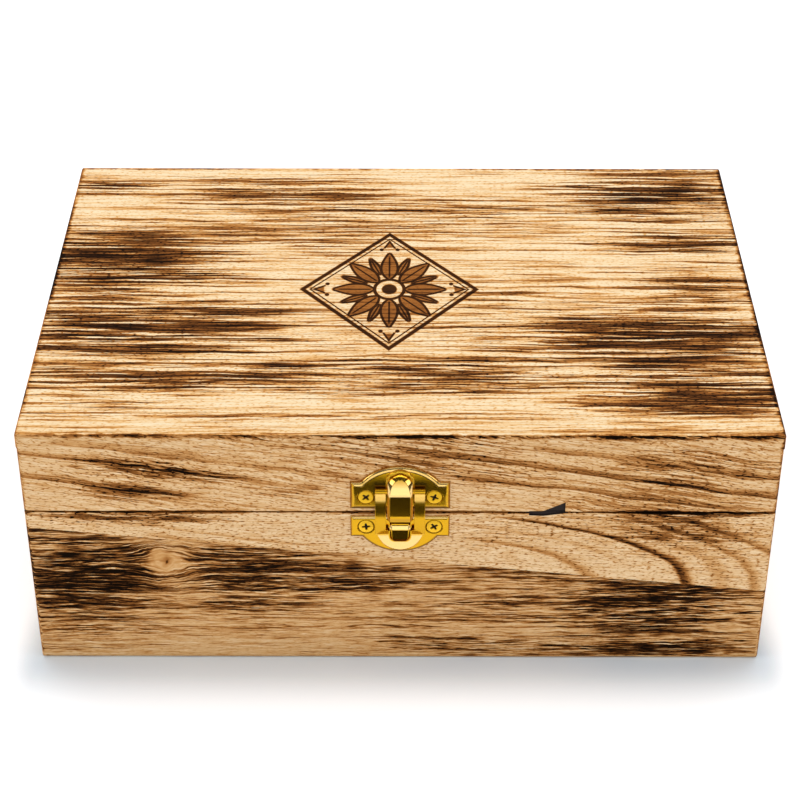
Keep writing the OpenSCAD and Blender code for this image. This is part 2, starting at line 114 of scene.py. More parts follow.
def lowest(*values):
    return reduce(lambda a, b: calc("MINIMUM", a, b), values)


def hypotenuse(a, b):
    return calc("SQRT", a * a + b * b)


def remap(value, low, high, outLow=0.0, outHigh=1.0, smooth=True):
    # turns low..high into outLow..outHigh, with a soft start and end
    node = put(value.tree, "ShaderNodeMapRange", {"Value": value, "From Min": low, "From Max": high,
                                                  "To Min": outLow, "To Max": outHigh})
    if smooth:
        node.interpolation_type = "SMOOTHSTEP"
    return Field(value.tree, node.outputs["Result"])


def between(value, low, high, softLow, softHigh):
    # 1 between two values, with a soft start and end
    return remap(value, low, low + softLow) * remap(value, high, high - softHigh)


def blendValue(factor, a, b):
    tree = treeOf((factor, a, b))
    node = put(tree, "ShaderNodeMix", {"Factor": factor, 2: a, 3: b}, data_type="FLOAT")
    return Field(tree, node.outputs[0])


def blendColor(factor, a, b, mode="MIX"):
    tree = treeOf((factor, a, b))
    node = put(tree, "ShaderNodeMix", {"Factor": factor, 6: a, 7: b}, data_type="RGBA", blend_type=mode)
    return Field(tree, node.outputs[2])


def split(vector):
    node = put(vector.tree, "ShaderNodeSeparateXYZ", {"Vector": vector})
    return [Field(vector.tree, socket) for socket in node.outputs]


def join(x, y, z):
    tree = treeOf((x, y, z))
    return Field(tree, put(tree, "ShaderNodeCombineXYZ", {"X": x, "Y": y, "Z": z}).outputs[0])


def stretched(vector, scale, shift=(0, 0, 0)):
    node = put(vector.tree, "ShaderNodeMapping", {"Vector": vector, "Scale": scale, "Location": shift})
    return Field(vector.tree, node.outputs[0])


def noise(vector, rates, detail=2.0, roughness=0.5, shift=(0, 0, 0)):
    # rates: about how many swells there are to one unit of length, along x, y and z
    cells = stretched(vector, rates, shift)
    node = put(vector.tree, "ShaderNodeTexNoise", {"Vector": cells, "Scale": 1.0, "Detail": detail,
                                                   "Roughness": roughness})
    return Field(vector.tree, node.outputs["Fac"])


def newGroup(name, inputs, outputs):
    # inputs: names and first values, a tuple for a vector; outputs: the names of values
    group = bpy.data.node_groups.new(name, "ShaderNodeTree")
    for label, value in inputs.items():
        kind = "NodeSocketVector" if isinstance(value, tuple) else "NodeSocketFloat"
        group.interface.new_socket(label, in_out="INPUT", socket_type=kind).default_value = value
    for label in outputs:
        group.interface.new_socket(label, in_out="OUTPUT", socket_type="NodeSocketFloat")
    start = group.nodes.new("NodeGroupInput").outputs
    return group, {label: Field(group, start[label]) for label in inputs}, group.nodes.new("NodeGroupOutput")


def place(group, sockets):
    tree = treeOf(sockets.values())
    node = put(tree, "ShaderNodeGroup", sockets, node_tree=group)
    return {socket.name: Field(tree, socket) for socket in node.outputs}


def newMaterial(name):
    # a material, its shader and the place on the piece in metres
    material = bpy.data.materials.new(name)
    material.use_nodes = True
    tree = material.node_tree
    tree.nodes.clear()
    shader = tree.nodes.new("ShaderNodeBsdfPrincipled")
    tree.links.new(shader.outputs[0], tree.nodes.new("ShaderNodeOutputMaterial").inputs[0])
    return material, shader, Field(tree, tree.nodes.new("ShaderNodeTexCoord").outputs["Object"])


def bumpNormal(height, strength, distance, normal=None):
    sockets = {"Strength": strength, "Distance": distance, "Height": height}
    if normal is not None:
        sockets["Normal"] = normal
    return Field(height.tree, put(height.tree, "ShaderNodeBump", sockets).outputs[0])


def srgb(r, g, b):
    # screen colour 0..255 to linear
    def one(c):
        c /= 255
        return c / 12.92 if c <= 0.04045 else ((c + 0.055) / 1.055) ** 2.4
    return (one(r), one(g), one(b), 1.0)


def ramp(value, stops):
    node = put(value.tree, "ShaderNodeValToRGB", {"Fac": value})
    elements = node.color_ramp.elements
    while len(elements) < len(stops):
        elements.new(0.5)
    for element, (position, color) in zip(elements, stops):
        element.position = position
        element.color = color
    return Field(value.tree, node.outputs["Color"])


grainLook = {
    # layers of noise: swells to a millimetre along the grain, across it, and the roughness
    "wander": (0.02, 0.09, 0.5), "quiver": (0.14, 0.5, 0.6), "spindle": (0.045, 0.8, 0.55),
    "broad": (0.012, 0.2, 0.5), "thread": (0.1, 2.1, 0.5), "line": (0.008, 0.85, 0.6),
    "hair": (0.3, 5.5, 0.5), "pore": (0.6, 2.0, 0.5), "quiverShift": (9, 2, 6), "lineShift": (5, 31, 17),
    # how far the streaks leave their line, and how much of each layer they hold
    "wanderBy": 2.6, "quiverBy": 1.1, "mix": {"spindle": 0.22, "thread": 0.32, "broad": 0.08, "line": 0.38},
    # where the streaks are cut on bare wood, and how much higher under the torch
    "contrast": 20.0, "bareCut": -1.25, "torchCut": 3.0, "charDepth": 0.6, "poreFrom": 0.54, "poreTo": 0.68,
    # darkness that each part adds on bare wood, and what the torch adds to that
    "poreDark": (0.6, 0.8), "threadDark": (-0.25, -1.15), "torchDark": 0.18, "levelDark": -0.17,
    "hairDark": 0.3, "levelHeight": 0.35, "hairHeight": 0.7, "poreHeight": -0.8}


def makeStreakGroup(look):
    # Streaks and pores of a brushed softwood board that a torch has passed over. The space is in
    # millimetres: x along the grain, y across it (constant along a ring), z into the board.
    # The streak noise is cut at a level that rises with the torch: first only its deepest
    # valleys are brown, in a torched patch all but thin gold lines.
    group, take, give = newGroup("torchedStreaks", {
        "Vector": (0, 0, 0), "Pore Vector": (0, 0, 0), "Torch": 0.0, "Band": 0.0, "Base Tone": 0.1,
        "Streaks": 0.25, "Length": 1.0, "Width": 1.0, "Pores": 0.3}, ["Darkness", "Height"])

    def layer(name, vector, detail=2.0, shift=(0, 0, 0)):
        along, across, roughness = look[name]
        return noise(vector, (along, across, across), detail, roughness, shift)

    torch, streaks = take["Torch"], take["Streaks"]
    sized = vectorCalc("DIVIDE", take["Vector"], join(take["Length"], take["Width"], take["Width"]))
    wander = (layer("wander", sized) - 0.5) * look["wanderBy"]
    quiver = (layer("quiver", sized, shift=look["quiverShift"]) - 0.5) * look["quiverBy"]
    x, y, z = split(sized)
    bent = join(x, y + quiver + wander, z)
    layers = {name: layer(name, bent) for name in ("spindle", "thread", "broad")}
    layers["line"] = layer("line", bent, shift=look["lineShift"])
    hair = layer("hair", bent)
    mixed = reduce(Field.__add__, [layers[name] * share for name, share in look["mix"].items()])
    level = (mixed - 0.5) * look["contrast"]
    char = remap(level - (torch * look["torchCut"] + look["bareCut"]), 1.0, -1.0)
    charDark = char * blendValue(lowest(torch, 1.0), streaks, look["charDepth"])
    pore = remap(layer("pore", take["Pore Vector"], 1.0), look["poreFrom"], look["poreTo"])
    poreDark, threadDark = (torch * more + bare for bare, more in (look["poreDark"], look["threadDark"]))
    total = take["Base Tone"] + torch * look["torchDark"] + charDark
    total = total + pore * take["Pores"] * poreDark + take["Band"]
    total = total + level * streaks * look["levelDark"] + (layers["thread"] - 0.5) * threadDark
    total = total + (hair - 0.5) * look["hairDark"]
    height = level * look["levelHeight"] + hair * look["hairHeight"] + pore * look["poreHeight"]
    feed(give, {"Darkness": highest(lowest(total, 1.0), 0.0), "Height": height})
    return group


def makePatchGroup():
    # One torched patch: 1 in the middle of an ellipse and 0 outside it, with a frayed rim.
    group, take, give = newGroup("torchPatch", {"Vector": (0, 0, 0), "Centre": (0, 0, 0), "Reach": (1, 1, 1),
                                                "Fray": 0.5, "Strength": 1.0}, ["Mask"])
    scaled = vectorCalc("DIVIDE", vectorCalc("SUBTRACT", take["Vector"], take["Centre"]), take["Reach"])
    far = vectorCalc("LENGTH", vectorCalc("MULTIPLY", scaled, (1, 1, 0)), result="Value")
    feed(give, {"Mask": remap(far + take["Fray"], 1.6, 0.1) * take["Strength"]})
    return group


def makeBandGroup(fade):
    # A late-wood band: dark at one ring level, with one sharp and one soft side, between two
    # places along the grain, where it fades out.
    group, take, give = newGroup("ringBand", {
        "Along": 0.0, "Level": 0.0, "Place": 0.0, "Sharp Side": 0.5, "Soft Side": 3.0, "Start": -200.0,
        "End": 200.0, "Strength": 0.3}, ["Band"])
    away = take["Level"] - take["Place"]
    sharp = remap(away, take["Sharp Side"] * -1.0, 0.0)
    soft = remap(away, take["Soft Side"], 0.0)
    start = remap(take["Along"], take["Start"], take["Start"] + fade)
    end = remap(take["Along"], take["End"], take["End"] - fade)
    feed(give, {"Band": sharp * soft * soft * start * end * take["Strength"]})
    return group


def makeEdgeGroup():
    # Distance to the nearest edge of a box, for a point on its surface: of the distances to the
    # three pairs of faces the middle one. Millimetres.
    group, take, give = newGroup("edgeDistance", {
        "Vector": (0, 0, 0), "Centre": (0, 0, 0), "Half": (1, 1, 1)}, ["Distance"])
    size = vectorCalc("ABSOLUTE", vectorCalc("SUBTRACT", take["Vector"], take["Centre"]))
    x, y, z = split(vectorCalc("SUBTRACT", take["Half"], size))
    feed(give, {"Distance": x + y + z - lowest(x, y, z) - highest(x, y, z)})
    return group


streakGroup = makeStreakGroup(grainLook)
patchGroup = makePatchGroup()
bandGroup = makeBandGroup(14.0)
edgeGroup = makeEdgeGroup()
print("node groups ready")

# from bare wood to charcoal, for the bright lid and for the walls
lidTones = [(at, srgb(*color)) for at, *color in (
    (0.03, 252, 234, 200), (0.11, 249, 219, 173), (0.19, 242, 200, 142), (0.28, 230, 177, 110),
    (0.39, 208, 147, 79), (0.50, 182, 119, 58), (0.61, 151, 93, 42), (0.72, 117, 70, 31), (0.83, 84, 49, 22),
    (0.93, 54, 31, 15), (1.0, 32, 18, 9))]
wallTones = [(at, srgb(*color)) for at, *color in (
    (0.05, 240, 217, 182), (0.17, 226, 198, 160), (0.28, 214, 175, 127), (0.39, 199, 152, 97),
    (0.50, 177, 124, 70), (0.61, 151, 98, 48), (0.72, 122, 75, 32), (0.83, 91, 53, 20), (0.92, 58, 31, 10),
    (1.0, 18, 7, 0))]

# the burnt edges: the seam's edges and the foot stay out of it
lidEdges = {"low": (-halfWidth, -halfDepth, -200), "high": (halfWidth, halfDepth, boxSize["height"])}
baseEdges = {"low": (-halfWidth, -halfDepth, -400), "high": (halfWidth, halfDepth, 400)}

# The flame only reached the outside: inside, these shares of the torch, the streaks and the burnt
# edges are left. From burntAt to bareAt millimetres below the outer faces they fade to that.
# edgeReach and seamReach: how far the scorching reaches where it is narrow and where it is wide
flameLook = {"torchInside": 0.12, "streaksInside": 0.4, "burnInside": 0.08, "bareAt": 1.6, "burntAt": 0.3,
             "hazeCut": (0.42, 0.7), "edgeReach": (0.35, 1.5), "edgeLeast": 0.3, "seamReach": (0.45, 1.5),
             "seam": 0.5, "charcoal": srgb(52, 45, 42)}


def onFace(reach, half):
    # 1 on the outer face at that distance from the middle
    return remap(reach, half - 0.5, half - 0.25)


def bendRoundKnot(along, across, board, knot):
    # The squared distance from the knot in knot sizes, and the place across the grain. Near the
    # knot that place is drawn to its centre by a bell curve, so the grain's lines part round it.
    wobble = noise(board, (0.16, 0.16, 0.16)) - 0.5
    u = (along - knot["centre"][0]) / knot["reach"][0] + wobble * knot["wobble"][0]
    v = (across - knot["centre"][1]) / knot["reach"][1] + wobble * knot["wobble"][1]
    away = u * u + v * v
    pull = calc("EXPONENT", away * -knot["spread"]) * -knot["pull"]
    return away, across + pull * (across - knot["centre"][1])


def ringLevel(along, across, board, rings):
    # Millimetres across the rings, the same all along one ring. Rings are straight at a slant, or
    # arcs of an ellipse on the right that run out on the left into lines that fall to the middle.
    if "slope" in rings:
        level = along * rings["slope"] + across
    else:
        u = highest((along - rings["centre"][0]) / rings["reach"][0], 0.0)
        v = (across - rings["centre"][1]) / rings["reach"][1]
        left = highest(rings["centre"][0] - along, 0.0)
        fall = left * left * rings["fall"] / (left + rings["fallOver"])
        level = hypotenuse(u, v) * rings["reach"][1] + fall
    return level + (noise(board, (0.03, 0.1, 0.1)) - 0.5) * rings["waver"]


def torchMask(board, shifted, look):
    # the strongest of the torched patches and of a weak haze
    fray = (noise(shifted, (0.02, 0.3, 0.3), 3.0, 0.6) - 0.5) * look["fray"]
    masks = [place(patchGroup, {"Vector": board, "Centre": (u, v, 0), "Reach": (ru, rv, 1), "Fray": fray,
                                "Strength": strength})["Mask"] for u, v, ru, rv, strength in look["patches"]]
    haze = noise(board, (0.012, 0.03, 0.03), shift=look["seed"])
    return highest(*masks, remap(haze, *flameLook["hazeCut"], 0.0, look["haze"]))


def bandSum(along, level, bands):
    total = 0.0
    for at, sharp, soft, start, end, strength in bands:
        band = place(bandGroup, {"Along": along, "Level": level, "Place": at, "Sharp Side": sharp,
                                 "Soft Side": soft, "Start": start, "End": end, "Strength": strength})["Band"]
        total = band + total if isinstance(total, Field) else band
    return total


def burntEdges(p, edges, look):
    # scorched arrises of ragged width, stronger in places
    low, high = Vector(edges["low"]), Vector(edges["high"])
    edge = place(edgeGroup, {"Vector": p, "Centre": tuple((low + high) / 2), "Half": tuple((high - low) / 2)})
    ragged = noise(p, (0.25, 0.25, 0.25), 3.0, 0.6)
    reach = remap(ragged, 0.35, 0.7, *flameLook["edgeReach"], False) * look["edgeWidth"]
    amount = remap(noise(p, (0.03, 0.03, 0.03)), 0.38, 0.62, flameLook["edgeLeast"], 1.0)
    return remap(edge["Distance"] / reach, 1.2, 0.0) * amount * look["edgeBurn"]


def burntSeam(p, z):
    # a thin scorched line at the seam, stronger in places
    ragged = noise(p, (0.05, 0.05, 0.4), 3.0, 0.6)
    reach = remap(ragged, 0.42, 0.66, *flameLook["seamReach"], False)
    return remap(abs(z - boxSize["seam"]) / reach, 1.0, 0.25) * flameLook["seam"]


endGrainLook = {"speck": (0.1, 1.2, 1.2), "speckDark": 0.36, "smoke": (0.03, 0.04, 0.07),
                "smokeCut": (0.42, 0.68), "smokeDark": (-0.06, 0.4), "toneShift": -0.04}


def endGrain(p, tone, look):
    # the sawn ends show fine even specks and a little smoke
    speck = noise(p, look["speck"])
    smoke = remap(noise(p, look["smoke"], 3.0, 0.6), *look["smokeCut"], *look["smokeDark"])
    return speck * look["speckDark"] + (tone + look["toneShift"]) + smoke


def woodSurface(p, look, edges):
    # colour, darkness and height of one board for points in millimetres
    x, y, z = split(p)
    axes = {"x": x, "y": y, "z": z}
    along, across, deep = (axes[name] for name in look["axes"])
    board = join(along, across, deep)
    if "knot" in look:
        knotAway, across = bendRoundKnot(along, across, board, look["knot"])
    level = ringLevel(along, across, board, look["rings"])
    followed = blendValue(look["follow"], across, level) if "follow" in look else level
    shifted = stretched(join(along, followed, deep), (1, 1, 1), look["seed"])
    depth = lowest(halfWidth - abs(x), halfDepth - abs(y), boxSize["height"] - z)
    outside = remap(depth, flameLook["bareAt"], flameLook["burntAt"])
    streaks = place(streakGroup, {
        "Vector": shifted, "Pore Vector": board if "follow" in look else shifted,
        "Torch": torchMask(board, shifted, look) * blendValue(outside, flameLook["torchInside"], 1.0),
        "Band": bandSum(along, level, look["bands"]), "Base Tone": look["tone"],
        "Streaks": blendValue(outside, flameLook["streaksInside"] * look["streaks"], look["streaks"]),
        "Length": look["length"], "Width": look["width"], "Pores": look["pores"]})
    wood = streaks["Darkness"]
    if look["axes"][0] == "x":
        wood = blendValue(onFace(abs(x), halfWidth), wood, endGrain(p, look["tone"], endGrainLook))
    burnt = burntEdges(p, edges, look) + burntSeam(p, z)
    dark = wood + burnt * blendValue(outside, flameLook["burnInside"], 1.0)
    if "knot" in look:
        dark = knotTone(dark, knotAway, look["knot"])
    if "pocket" in look:
        pocket = charredPocket(x, y, z, look["pocket"])
        dark = blendValue(pocket, dark, 1.0)
    if "ornament" in look:
        above = remap(z, boxSize["height"] - 1.0, boxSize["height"] - 0.5)
        dark = burnOrnament(dark, x, y, above, look["ornament"])
    color = blendColor(1.0, ramp(dark, look["tones"]), look["tint"], "MULTIPLY")
    if "pocket" in look:
        color = blendColor(pocket, color, flameLook["charcoal"])
    return color, dark, streaks["Height"]


def makeWood(name, look, edges, walls):
    material, shader, where = newMaterial(name)
    scaling = put(where.tree, "ShaderNodeVectorMath", {0: where, "Scale": 1 / mm}, operation="SCALE")
    point = Field(where.tree, scaling.outputs[0])
    color, dark, height = woodSurface(point, look, edges)
    for wallName, half in walls:
        # this edge of the board carries the pattern of the wall beside it
        wallColor, wallDark, wallHeight = woodSurface(point, woodLooks[wallName], edges)
        onEdge = onFace(split(point)[1] * math.copysign(1.0, half), abs(half))
        color = blendColor(onEdge, color, wallColor)
        dark = blendValue(onEdge, dark, wallDark)
        height = blendValue(onEdge, height, wallHeight)
    feed(shader, {"Base Color": color, "Roughness": remap(dark, 0.1, 0.9, *look["roughness"], False),
                  "Normal": bumpNormal(height, 0.6, look["relief"] * mm),
                  "Specular IOR Level": look["shine"]})
    return material


def knotTone(dark, away, knot):
    # pale wood round the knot, two faint rings and a dark core
    far = calc("SQRT", away)
    rings = (calc("SINE", far * knot["ringRate"]) + 1.0) * knot["ringDark"]
    inner = knot["tone"] + rings + remap(far, *knot["heart"]) + remap(far, *knot["core"])
    return blendValue(remap(far, *knot["rim"]) * knot["cover"], dark, inner)


def charredPocket(x, y, z, look):
    # 1 inside the chipped place at the seam, where the wood is charcoal
    front = between(y, -halfDepth + look["front"], -halfDepth + look["back"], 0.08, 1.0)
    return between(x, *look["x"], 0.2, 0.2) * front * between(z, *look["z"], 0.2, 0.2)


def ringLine(value, middle, half):
    # 1 on a line of the given half width round a level, with soft edges
    return remap(abs(value - middle), half * 1.3, half * 0.7)


def burnOrnament(dark, x, y, above, look):
    # A lozenge frame round an eight-petalled rosette, burnt into the lid. The place is measured
    # in half widths of the lozenge; petals are lens shaped in the angle round the middle.
    u = (x - look["centre"][0]) / look["half"][0]
    v = (y - look["centre"][1]) / look["half"][1]
    sideways, upwards = abs(u), abs(v)
    lozenge = sideways + upwards
    far = hypotenuse(u, v)
    angle = calc("ARCTAN2", v, u)
    lines = [ringLine(lozenge, *look["frame"]), ringLine(lozenge, *look["innerFrame"]),
             ringLine(far, *look["ring"]), remap(far, *look["eye"])]
    fills = []
    for start, end, wide, turned in look["petals"]:
        # the angle to the nearest petal's axis, times the distance, is the way across the petal
        side = calc("PINGPONG", angle + turned, math.pi / 8) * far
        reach = calc("DIVIDE", far - start, end - start, clamp=True)
        lens = calc("SINE", calc("POWER", reach, 0.8) * math.pi) * wide
        inner = lens - side
        fills.append(remap(inner, 0.0, 0.012))
        lines.append(ringLine(inner, *look["petalEdge"]) * remap(lens, 0.004, 0.02))
        lines.append(remap(side, *look["vein"]) * remap(lens, wide * 0.35, wide * 0.6))
    # four small darts in the corners of the lozenge and a thin ring of beads
    for a, b in ((sideways, upwards), (upwards, sideways)):
        dart, foot = (look["dartTip"] - a) * 0.5 - b, look["dartFoot"]
        fills.append(remap(dart, 0.0, 0.012) * remap(a, foot, foot + 0.02))
        lines.append(ringLine(dart, *look["dartEdge"]) * remap(a, foot - 0.01, foot))
    bead = (math.pi / look["beads"] - calc("PINGPONG", angle, math.pi / look["beads"])) * look["beadRing"]
    beadFar = calc("SQRT", bead * bead + calc("POWER", abs(far - look["beadRing"]), 2.0))
    lines.append(remap(beadFar, *look["beadSize"]) * remap(lozenge, 0.87, 0.84))
    grain = dark * look["grain"]
    dark = blendValue(highest(*fills) * look["fillCover"] * above, dark, grain + look["fill"])
    return blendValue(highest(*lines) * look["lineCover"] * above, dark, grain * 0.3 + look["line"])


# roughness: of bare and of charred wood
lidSkin = {"tint": (0.98, 0.935, 0.87, 1), "tones": lidTones, "shine": 0.03, "roughness": (0.5, 0.68)}
wallSkin = {**lidSkin, "tint": (0.99, 0.955, 0.89, 1), "tones": wallTones}
plainBoard = {**wallSkin, "tone": 0.24, "streaks": 0.26, "length": 1.0, "width": 0.8, "pores": 0.2,
              "haze": 0.5, "fray": 2.0, "edgeWidth": 1.0, "edgeBurn": 0.5, "relief": 0.15}
pocketLook = {"x": (41.8, 55.8), "z": (62, 70), "front": 0.04, "back": 4.0}

# axes: which way the grain runs, the way across it and into the board
# bands: ring level, sharp side, soft side, start, end, strength
# patches: place along and across the grain, reach along and across it, strength
woodLooks = {
    "topPanel": {
        **lidSkin, "axes": "xyz", "seed": (13, 7, 3), "rings": {"slope": 0.004, "waver": 1.5}, "tone": 0.09,
        "streaks": 0.34, "length": 2.2, "width": 1.45, "pores": 0.34, "haze": 0.33, "fray": 2.2,
        "edgeWidth": 2.0, "edgeBurn": 0.75, "relief": 0.16,
        "bands": [(38, 0.5, 1.2, -140, 60, 0.35), (27, 0.4, 1.0, -140, 140, 0.25),
                  (-46, 0.6, 1.5, -100, 140, 0.25), (56, 0.5, 2, -40, 140, 0.25),
                  (-20, 0.4, 1.2, 30, 140, 0.2)],
        "patches": [(-100, 18, 38, 23, 0.93), (-104, -4, 30, 15, 0.62), (106, 3, 26, 14, 0.6),
                    (-93, -28, 46, 23, 0.92), (-46, 68, 44, 12, 0.5), (-112, 73, 24, 5, 0.62),
                    (-60, -56, 90, 9, 0.66), (99, 67, 40, 18, 0.96), (100, 33, 32, 9, 0.7),
                    (92, -30, 52, 18, 0.84), (98, -61, 38, 18, 0.84), (22, -56, 50, 12, 0.7),
                    (10, 55, 70, 10, 0.45)],
        # petals: start and end from the middle, half width, turn
        "ornament": {"centre": (-4, -0.25), "half": (32, 39.5), "fill": 0.6, "line": 0.93,
                     "frame": (0.97, 0.034), "innerFrame": (0.885, 0.012), "ring": (0.165, 0.02),
                     "eye": (0.095, 0.075),
                     "petals": [(0.16, 0.66, 0.1, 0.0), (0.25, 0.62, 0.05, math.pi / 8)],
                     "petalEdge": (0.004, 0.016), "vein": (0.014, 0.006), "dartTip": 0.85, "dartFoot": 0.72,
                     "dartEdge": (0.004, 0.014), "beads": 24, "beadRing": 0.7, "beadSize": (0.03, 0.02),
                     "grain": 0.35, "fillCover": 0.9, "lineCover": 0.94}},
    "topStave": {
        **lidSkin, "axes": "xyz", "seed": (41, 90, 3), "rings": {"slope": -0.01, "waver": 1}, "tone": 0.1,
        "streaks": 0.26, "length": 2.0, "width": 1.5, "pores": 0.3, "haze": 0.3, "fray": 1.5,
        "edgeWidth": 1.3, "edgeBurn": 0.6, "relief": 0.2, "bands": [], "patches": [(20, -79, 160, 1.6, 0.4)]},
    "lidFront": {
        **wallSkin, "axes": "xzy", "seed": (5, 31, 77), "rings": {"slope": 0.15, "waver": 3}, "tone": 0.23,
        "streaks": 0.1, "length": 0.9, "width": 1.0, "pores": 0.42, "haze": 0.35, "fray": 1.8,
        "edgeWidth": 1.3, "edgeBurn": 0.55, "relief": 0.12, "pocket": pocketLook,
        "bands": [(89.4, 0.5, 4, -8, 140, 0.45), (82, 0.5, 4, 10, 118, 0.4), (70, 0.6, 4, -140, -40, 0.34),
                  (60.5, 0.5, 4, -140, -60, 0.34), (97, 0.6, 5, 40, 140, 0.3), (76, 0.6, 5, -120, 0, 0.2),
                  (86, 0.5, 3, -70, 20, 0.18)],
        "patches": [(-83, 81, 28, 7, 0.58), (-88, 74, 20, 5, 0.5), (95, 82, 34, 10, 0.4),
                    (2, 95.6, 60, 1.2, 0.6), (94, 95.6, 40, 1.4, 0.7)]},
    "upperStave": {
        **wallSkin, "axes": "xzy", "seed": (71, 11, 9),
        "rings": {"centre": (-20, 33), "reach": (117, 33), "fall": -0.2, "fallOver": 30.0, "waver": 1.2},
        "tone": 0.2, "streaks": 0.04, "length": 0.7, "width": 0.8, "pores": 0.55, "follow": 0.2,
        "haze": 0.2, "fray": 1.8, "edgeWidth": 1.0, "edgeBurn": 0.5, "relief": 0.1, "pocket": pocketLook,
        "bands": [(33, 0.5, 1.8, 30, 140, 0.62), (24, 0.8, 2, 15, 80, 0.28), (36.5, 1, 2.5, 60, 140, 0.14),
                  (43, 0.8, 2, 60, 140, 0.3), (13, 0.6, 3, -90, 0, 0.22), (17, 0.5, 2, -110, -20, 0.16),
                  (28.5, 0.5, 2, 0, 80, 0.12), (39.5, 0.6, 1.6, 70, 140, 0.24)],
        "patches": [(-90, 62.5, 34, 3.4, 0.66), (94, 64.3, 24, 2.6, 0.85), (93, 57, 24, 8, 0.5)]},
    "lowerStave": {
        **wallSkin, "axes": "xzy", "seed": (29, 53, 19), "rings": {"slope": 0.0, "waver": 2}, "tone": 0.33,
        "streaks": 0.24, "length": 0.8, "width": 0.85, "pores": 0.14, "haze": 0.5, "fray": 2.0,
        "edgeWidth": 1.0, "edgeBurn": 0.5, "relief": 0.16, "bands": [],
        # rim, heart and core: from and to in knot sizes, and in the last two the darkness there
        "knot": {"centre": (-78.7, 43.1), "reach": (7.5, 7.0), "tone": 0.3, "wobble": (0.9, -1.3),
                 "spread": 0.7, "pull": 0.8, "ringRate": 26.0, "ringDark": 0.03, "rim": (0.95, 0.45),
                 "cover": 0.85, "heart": (0.4, 0.1, 0.0, 0.24), "core": (0.14, 0.02, 0.0, 0.4)},
        "patches": [(-108, 39, 34, 25, 0.76), (-108, 37, 28, 12, 0.88), (-50, 39, 27, 20, 0.72),
                    (-24, 36, 40, 8, 0.58), (85, 24, 39, 20, 0.8), (21, 7, 30, 5, 0.6),
                    (83, 6, 40, 5, 0.68)]},
    "sideBoard": {
        **plainBoard, "axes": "yzx", "seed": (3, 8, 120), "rings": {"slope": 0.05, "waver": 3},
        "bands": [(30, 0.6, 4, -120, 120, 0.25)],
        "patches": [(-50, 30, 40, 20, 0.82), (48, 44, 44, 16, 0.75), (10, 12, 44, 10, 0.6),
                    (30, 82, 44, 8, 0.6)]},
    "backBoard": {
        **plainBoard, "axes": "xzy", "seed": (8, 61, 240), "rings": {"slope": -0.04, "waver": 3},
        "bands": [(50, 0.6, 4, -140, 140, 0.25)],
        "patches": [(-70, 34, 50, 18, 0.82), (60, 20, 56, 14, 0.8), (10, 52, 64, 8, 0.5),
                    (-30, 80, 64, 7, 0.6)]},
    "bottomPanel": {
        **plainBoard, "axes": "xyz", "seed": (50, 10, 3), "rings": {"slope": 0.0, "waver": 2}, "tone": 0.22,
        "streaks": 0.2, "length": 1.2, "width": 0.9, "pores": 0.15, "haze": 0.25, "relief": 0.12, "bands": [],
        "patches": []},
}

# which look each board has, and the edges of the lid or the base that it is burnt along
woodNodes = {
    "lid_top_panel": ("topPanel", lidEdges), "lid_top_front_stave": ("topStave", lidEdges),
    "lid_front_board": ("lidFront", lidEdges), "lid_back_board": ("backBoard", lidEdges),
    "lid_left_board": ("sideBoard", lidEdges), "lid_right_board": ("sideBoard", lidEdges),
    "base_front_upper_stave": ("upperStave", baseEdges), "base_front_lower_stave": ("lowerStave", baseEdges),
    "base_back_board": ("backBoard", baseEdges), "base_left_board": ("sideBoard", baseEdges),
    "base_right_board": ("sideBoard", baseEdges), "base_bottom_panel": ("bottomPanel", baseEdges),
}

# boards whose front or back edge shows in a wall
wallEdges = {"topStave": [("lidFront", -halfDepth)], "topPanel": [("backBoard", halfDepth)],
             "bottomPanel": [("lowerStave", -halfDepth), ("backBoard", halfDepth)]}


def dress(node, material):
    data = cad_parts[node].data
    data.materials.clear()
    data.materials.append(material)


woodMade = {}
for node, (lookName, edges) in woodNodes.items():
    key = lookName + ("Lid" if edges is lidEdges else "Base")
    if key not in woodMade:
        woodMade[key] = makeWood(key, woodLooks[lookName], edges, wallEdges.get(lookName, []))
    dress(node, woodMade[key])
print("wood dressed:", len(woodMade), "materials")

# peel and peelRate: the plating's faint ripple, its depth in millimetres and swells to a metre
# besides the plating's own colour: the colour of a painted highlight, of a painted shade, and of a darker
# painted shade that is also rough
goldLook = {"color": srgb(214, 162, 24), "metal": 1.0, "roughness": 0.1, "peel": 0.015, "peelRate": 900,
            "coat": 0.12, "coatRoughness": 0.08, "pale": srgb(244, 206, 130),
            "shade": srgb(128, 98, 26), "grime": srgb(52, 34, 6), "grimeRoughness": 0.6}


def attributeField(tree, name):
    return Field(tree, put(tree, "ShaderNodeAttribute", attribute_name=name).outputs["Fac"])


def makeMetal(name, look):
    # Plated or bare metal with a faint peel. Gold pieces carry marks on their points: a painted
    # highlight makes them paler, a painted shade darker, a second painted shade dark and rough, and
    # bead is the fuller rounding of the rims in millimetres.
    material, shader, where = newMaterial(name)
    color, roughness, rounded = look["color"], look["roughness"], None
    if "grime" in look:
        marks = ("polish", "shade", "grime", "bead")
        polish, shade, grime, bead = (attributeField(where.tree, mark) for mark in marks)
        color = blendColor(shade, blendColor(polish, color, look["pale"]), look["shade"])
        color = blendColor(grime, color, look["grime"])
        roughness = blendValue(grime, roughness, look["grimeRoughness"])
        rounded = bumpNormal(bead, 1.0, mm)
    peel = noise(where, (look["peelRate"],) * 3, 3.0, 0.6)
    feed(shader, {"Base Color": color, "Roughness": roughness, "Metallic": look["metal"],
                  "Coat Weight": look["coat"], "Coat Roughness": look["coatRoughness"],
                  "Normal": bumpNormal(peel, 0.3, look["peel"] * mm, rounded)})
    return material


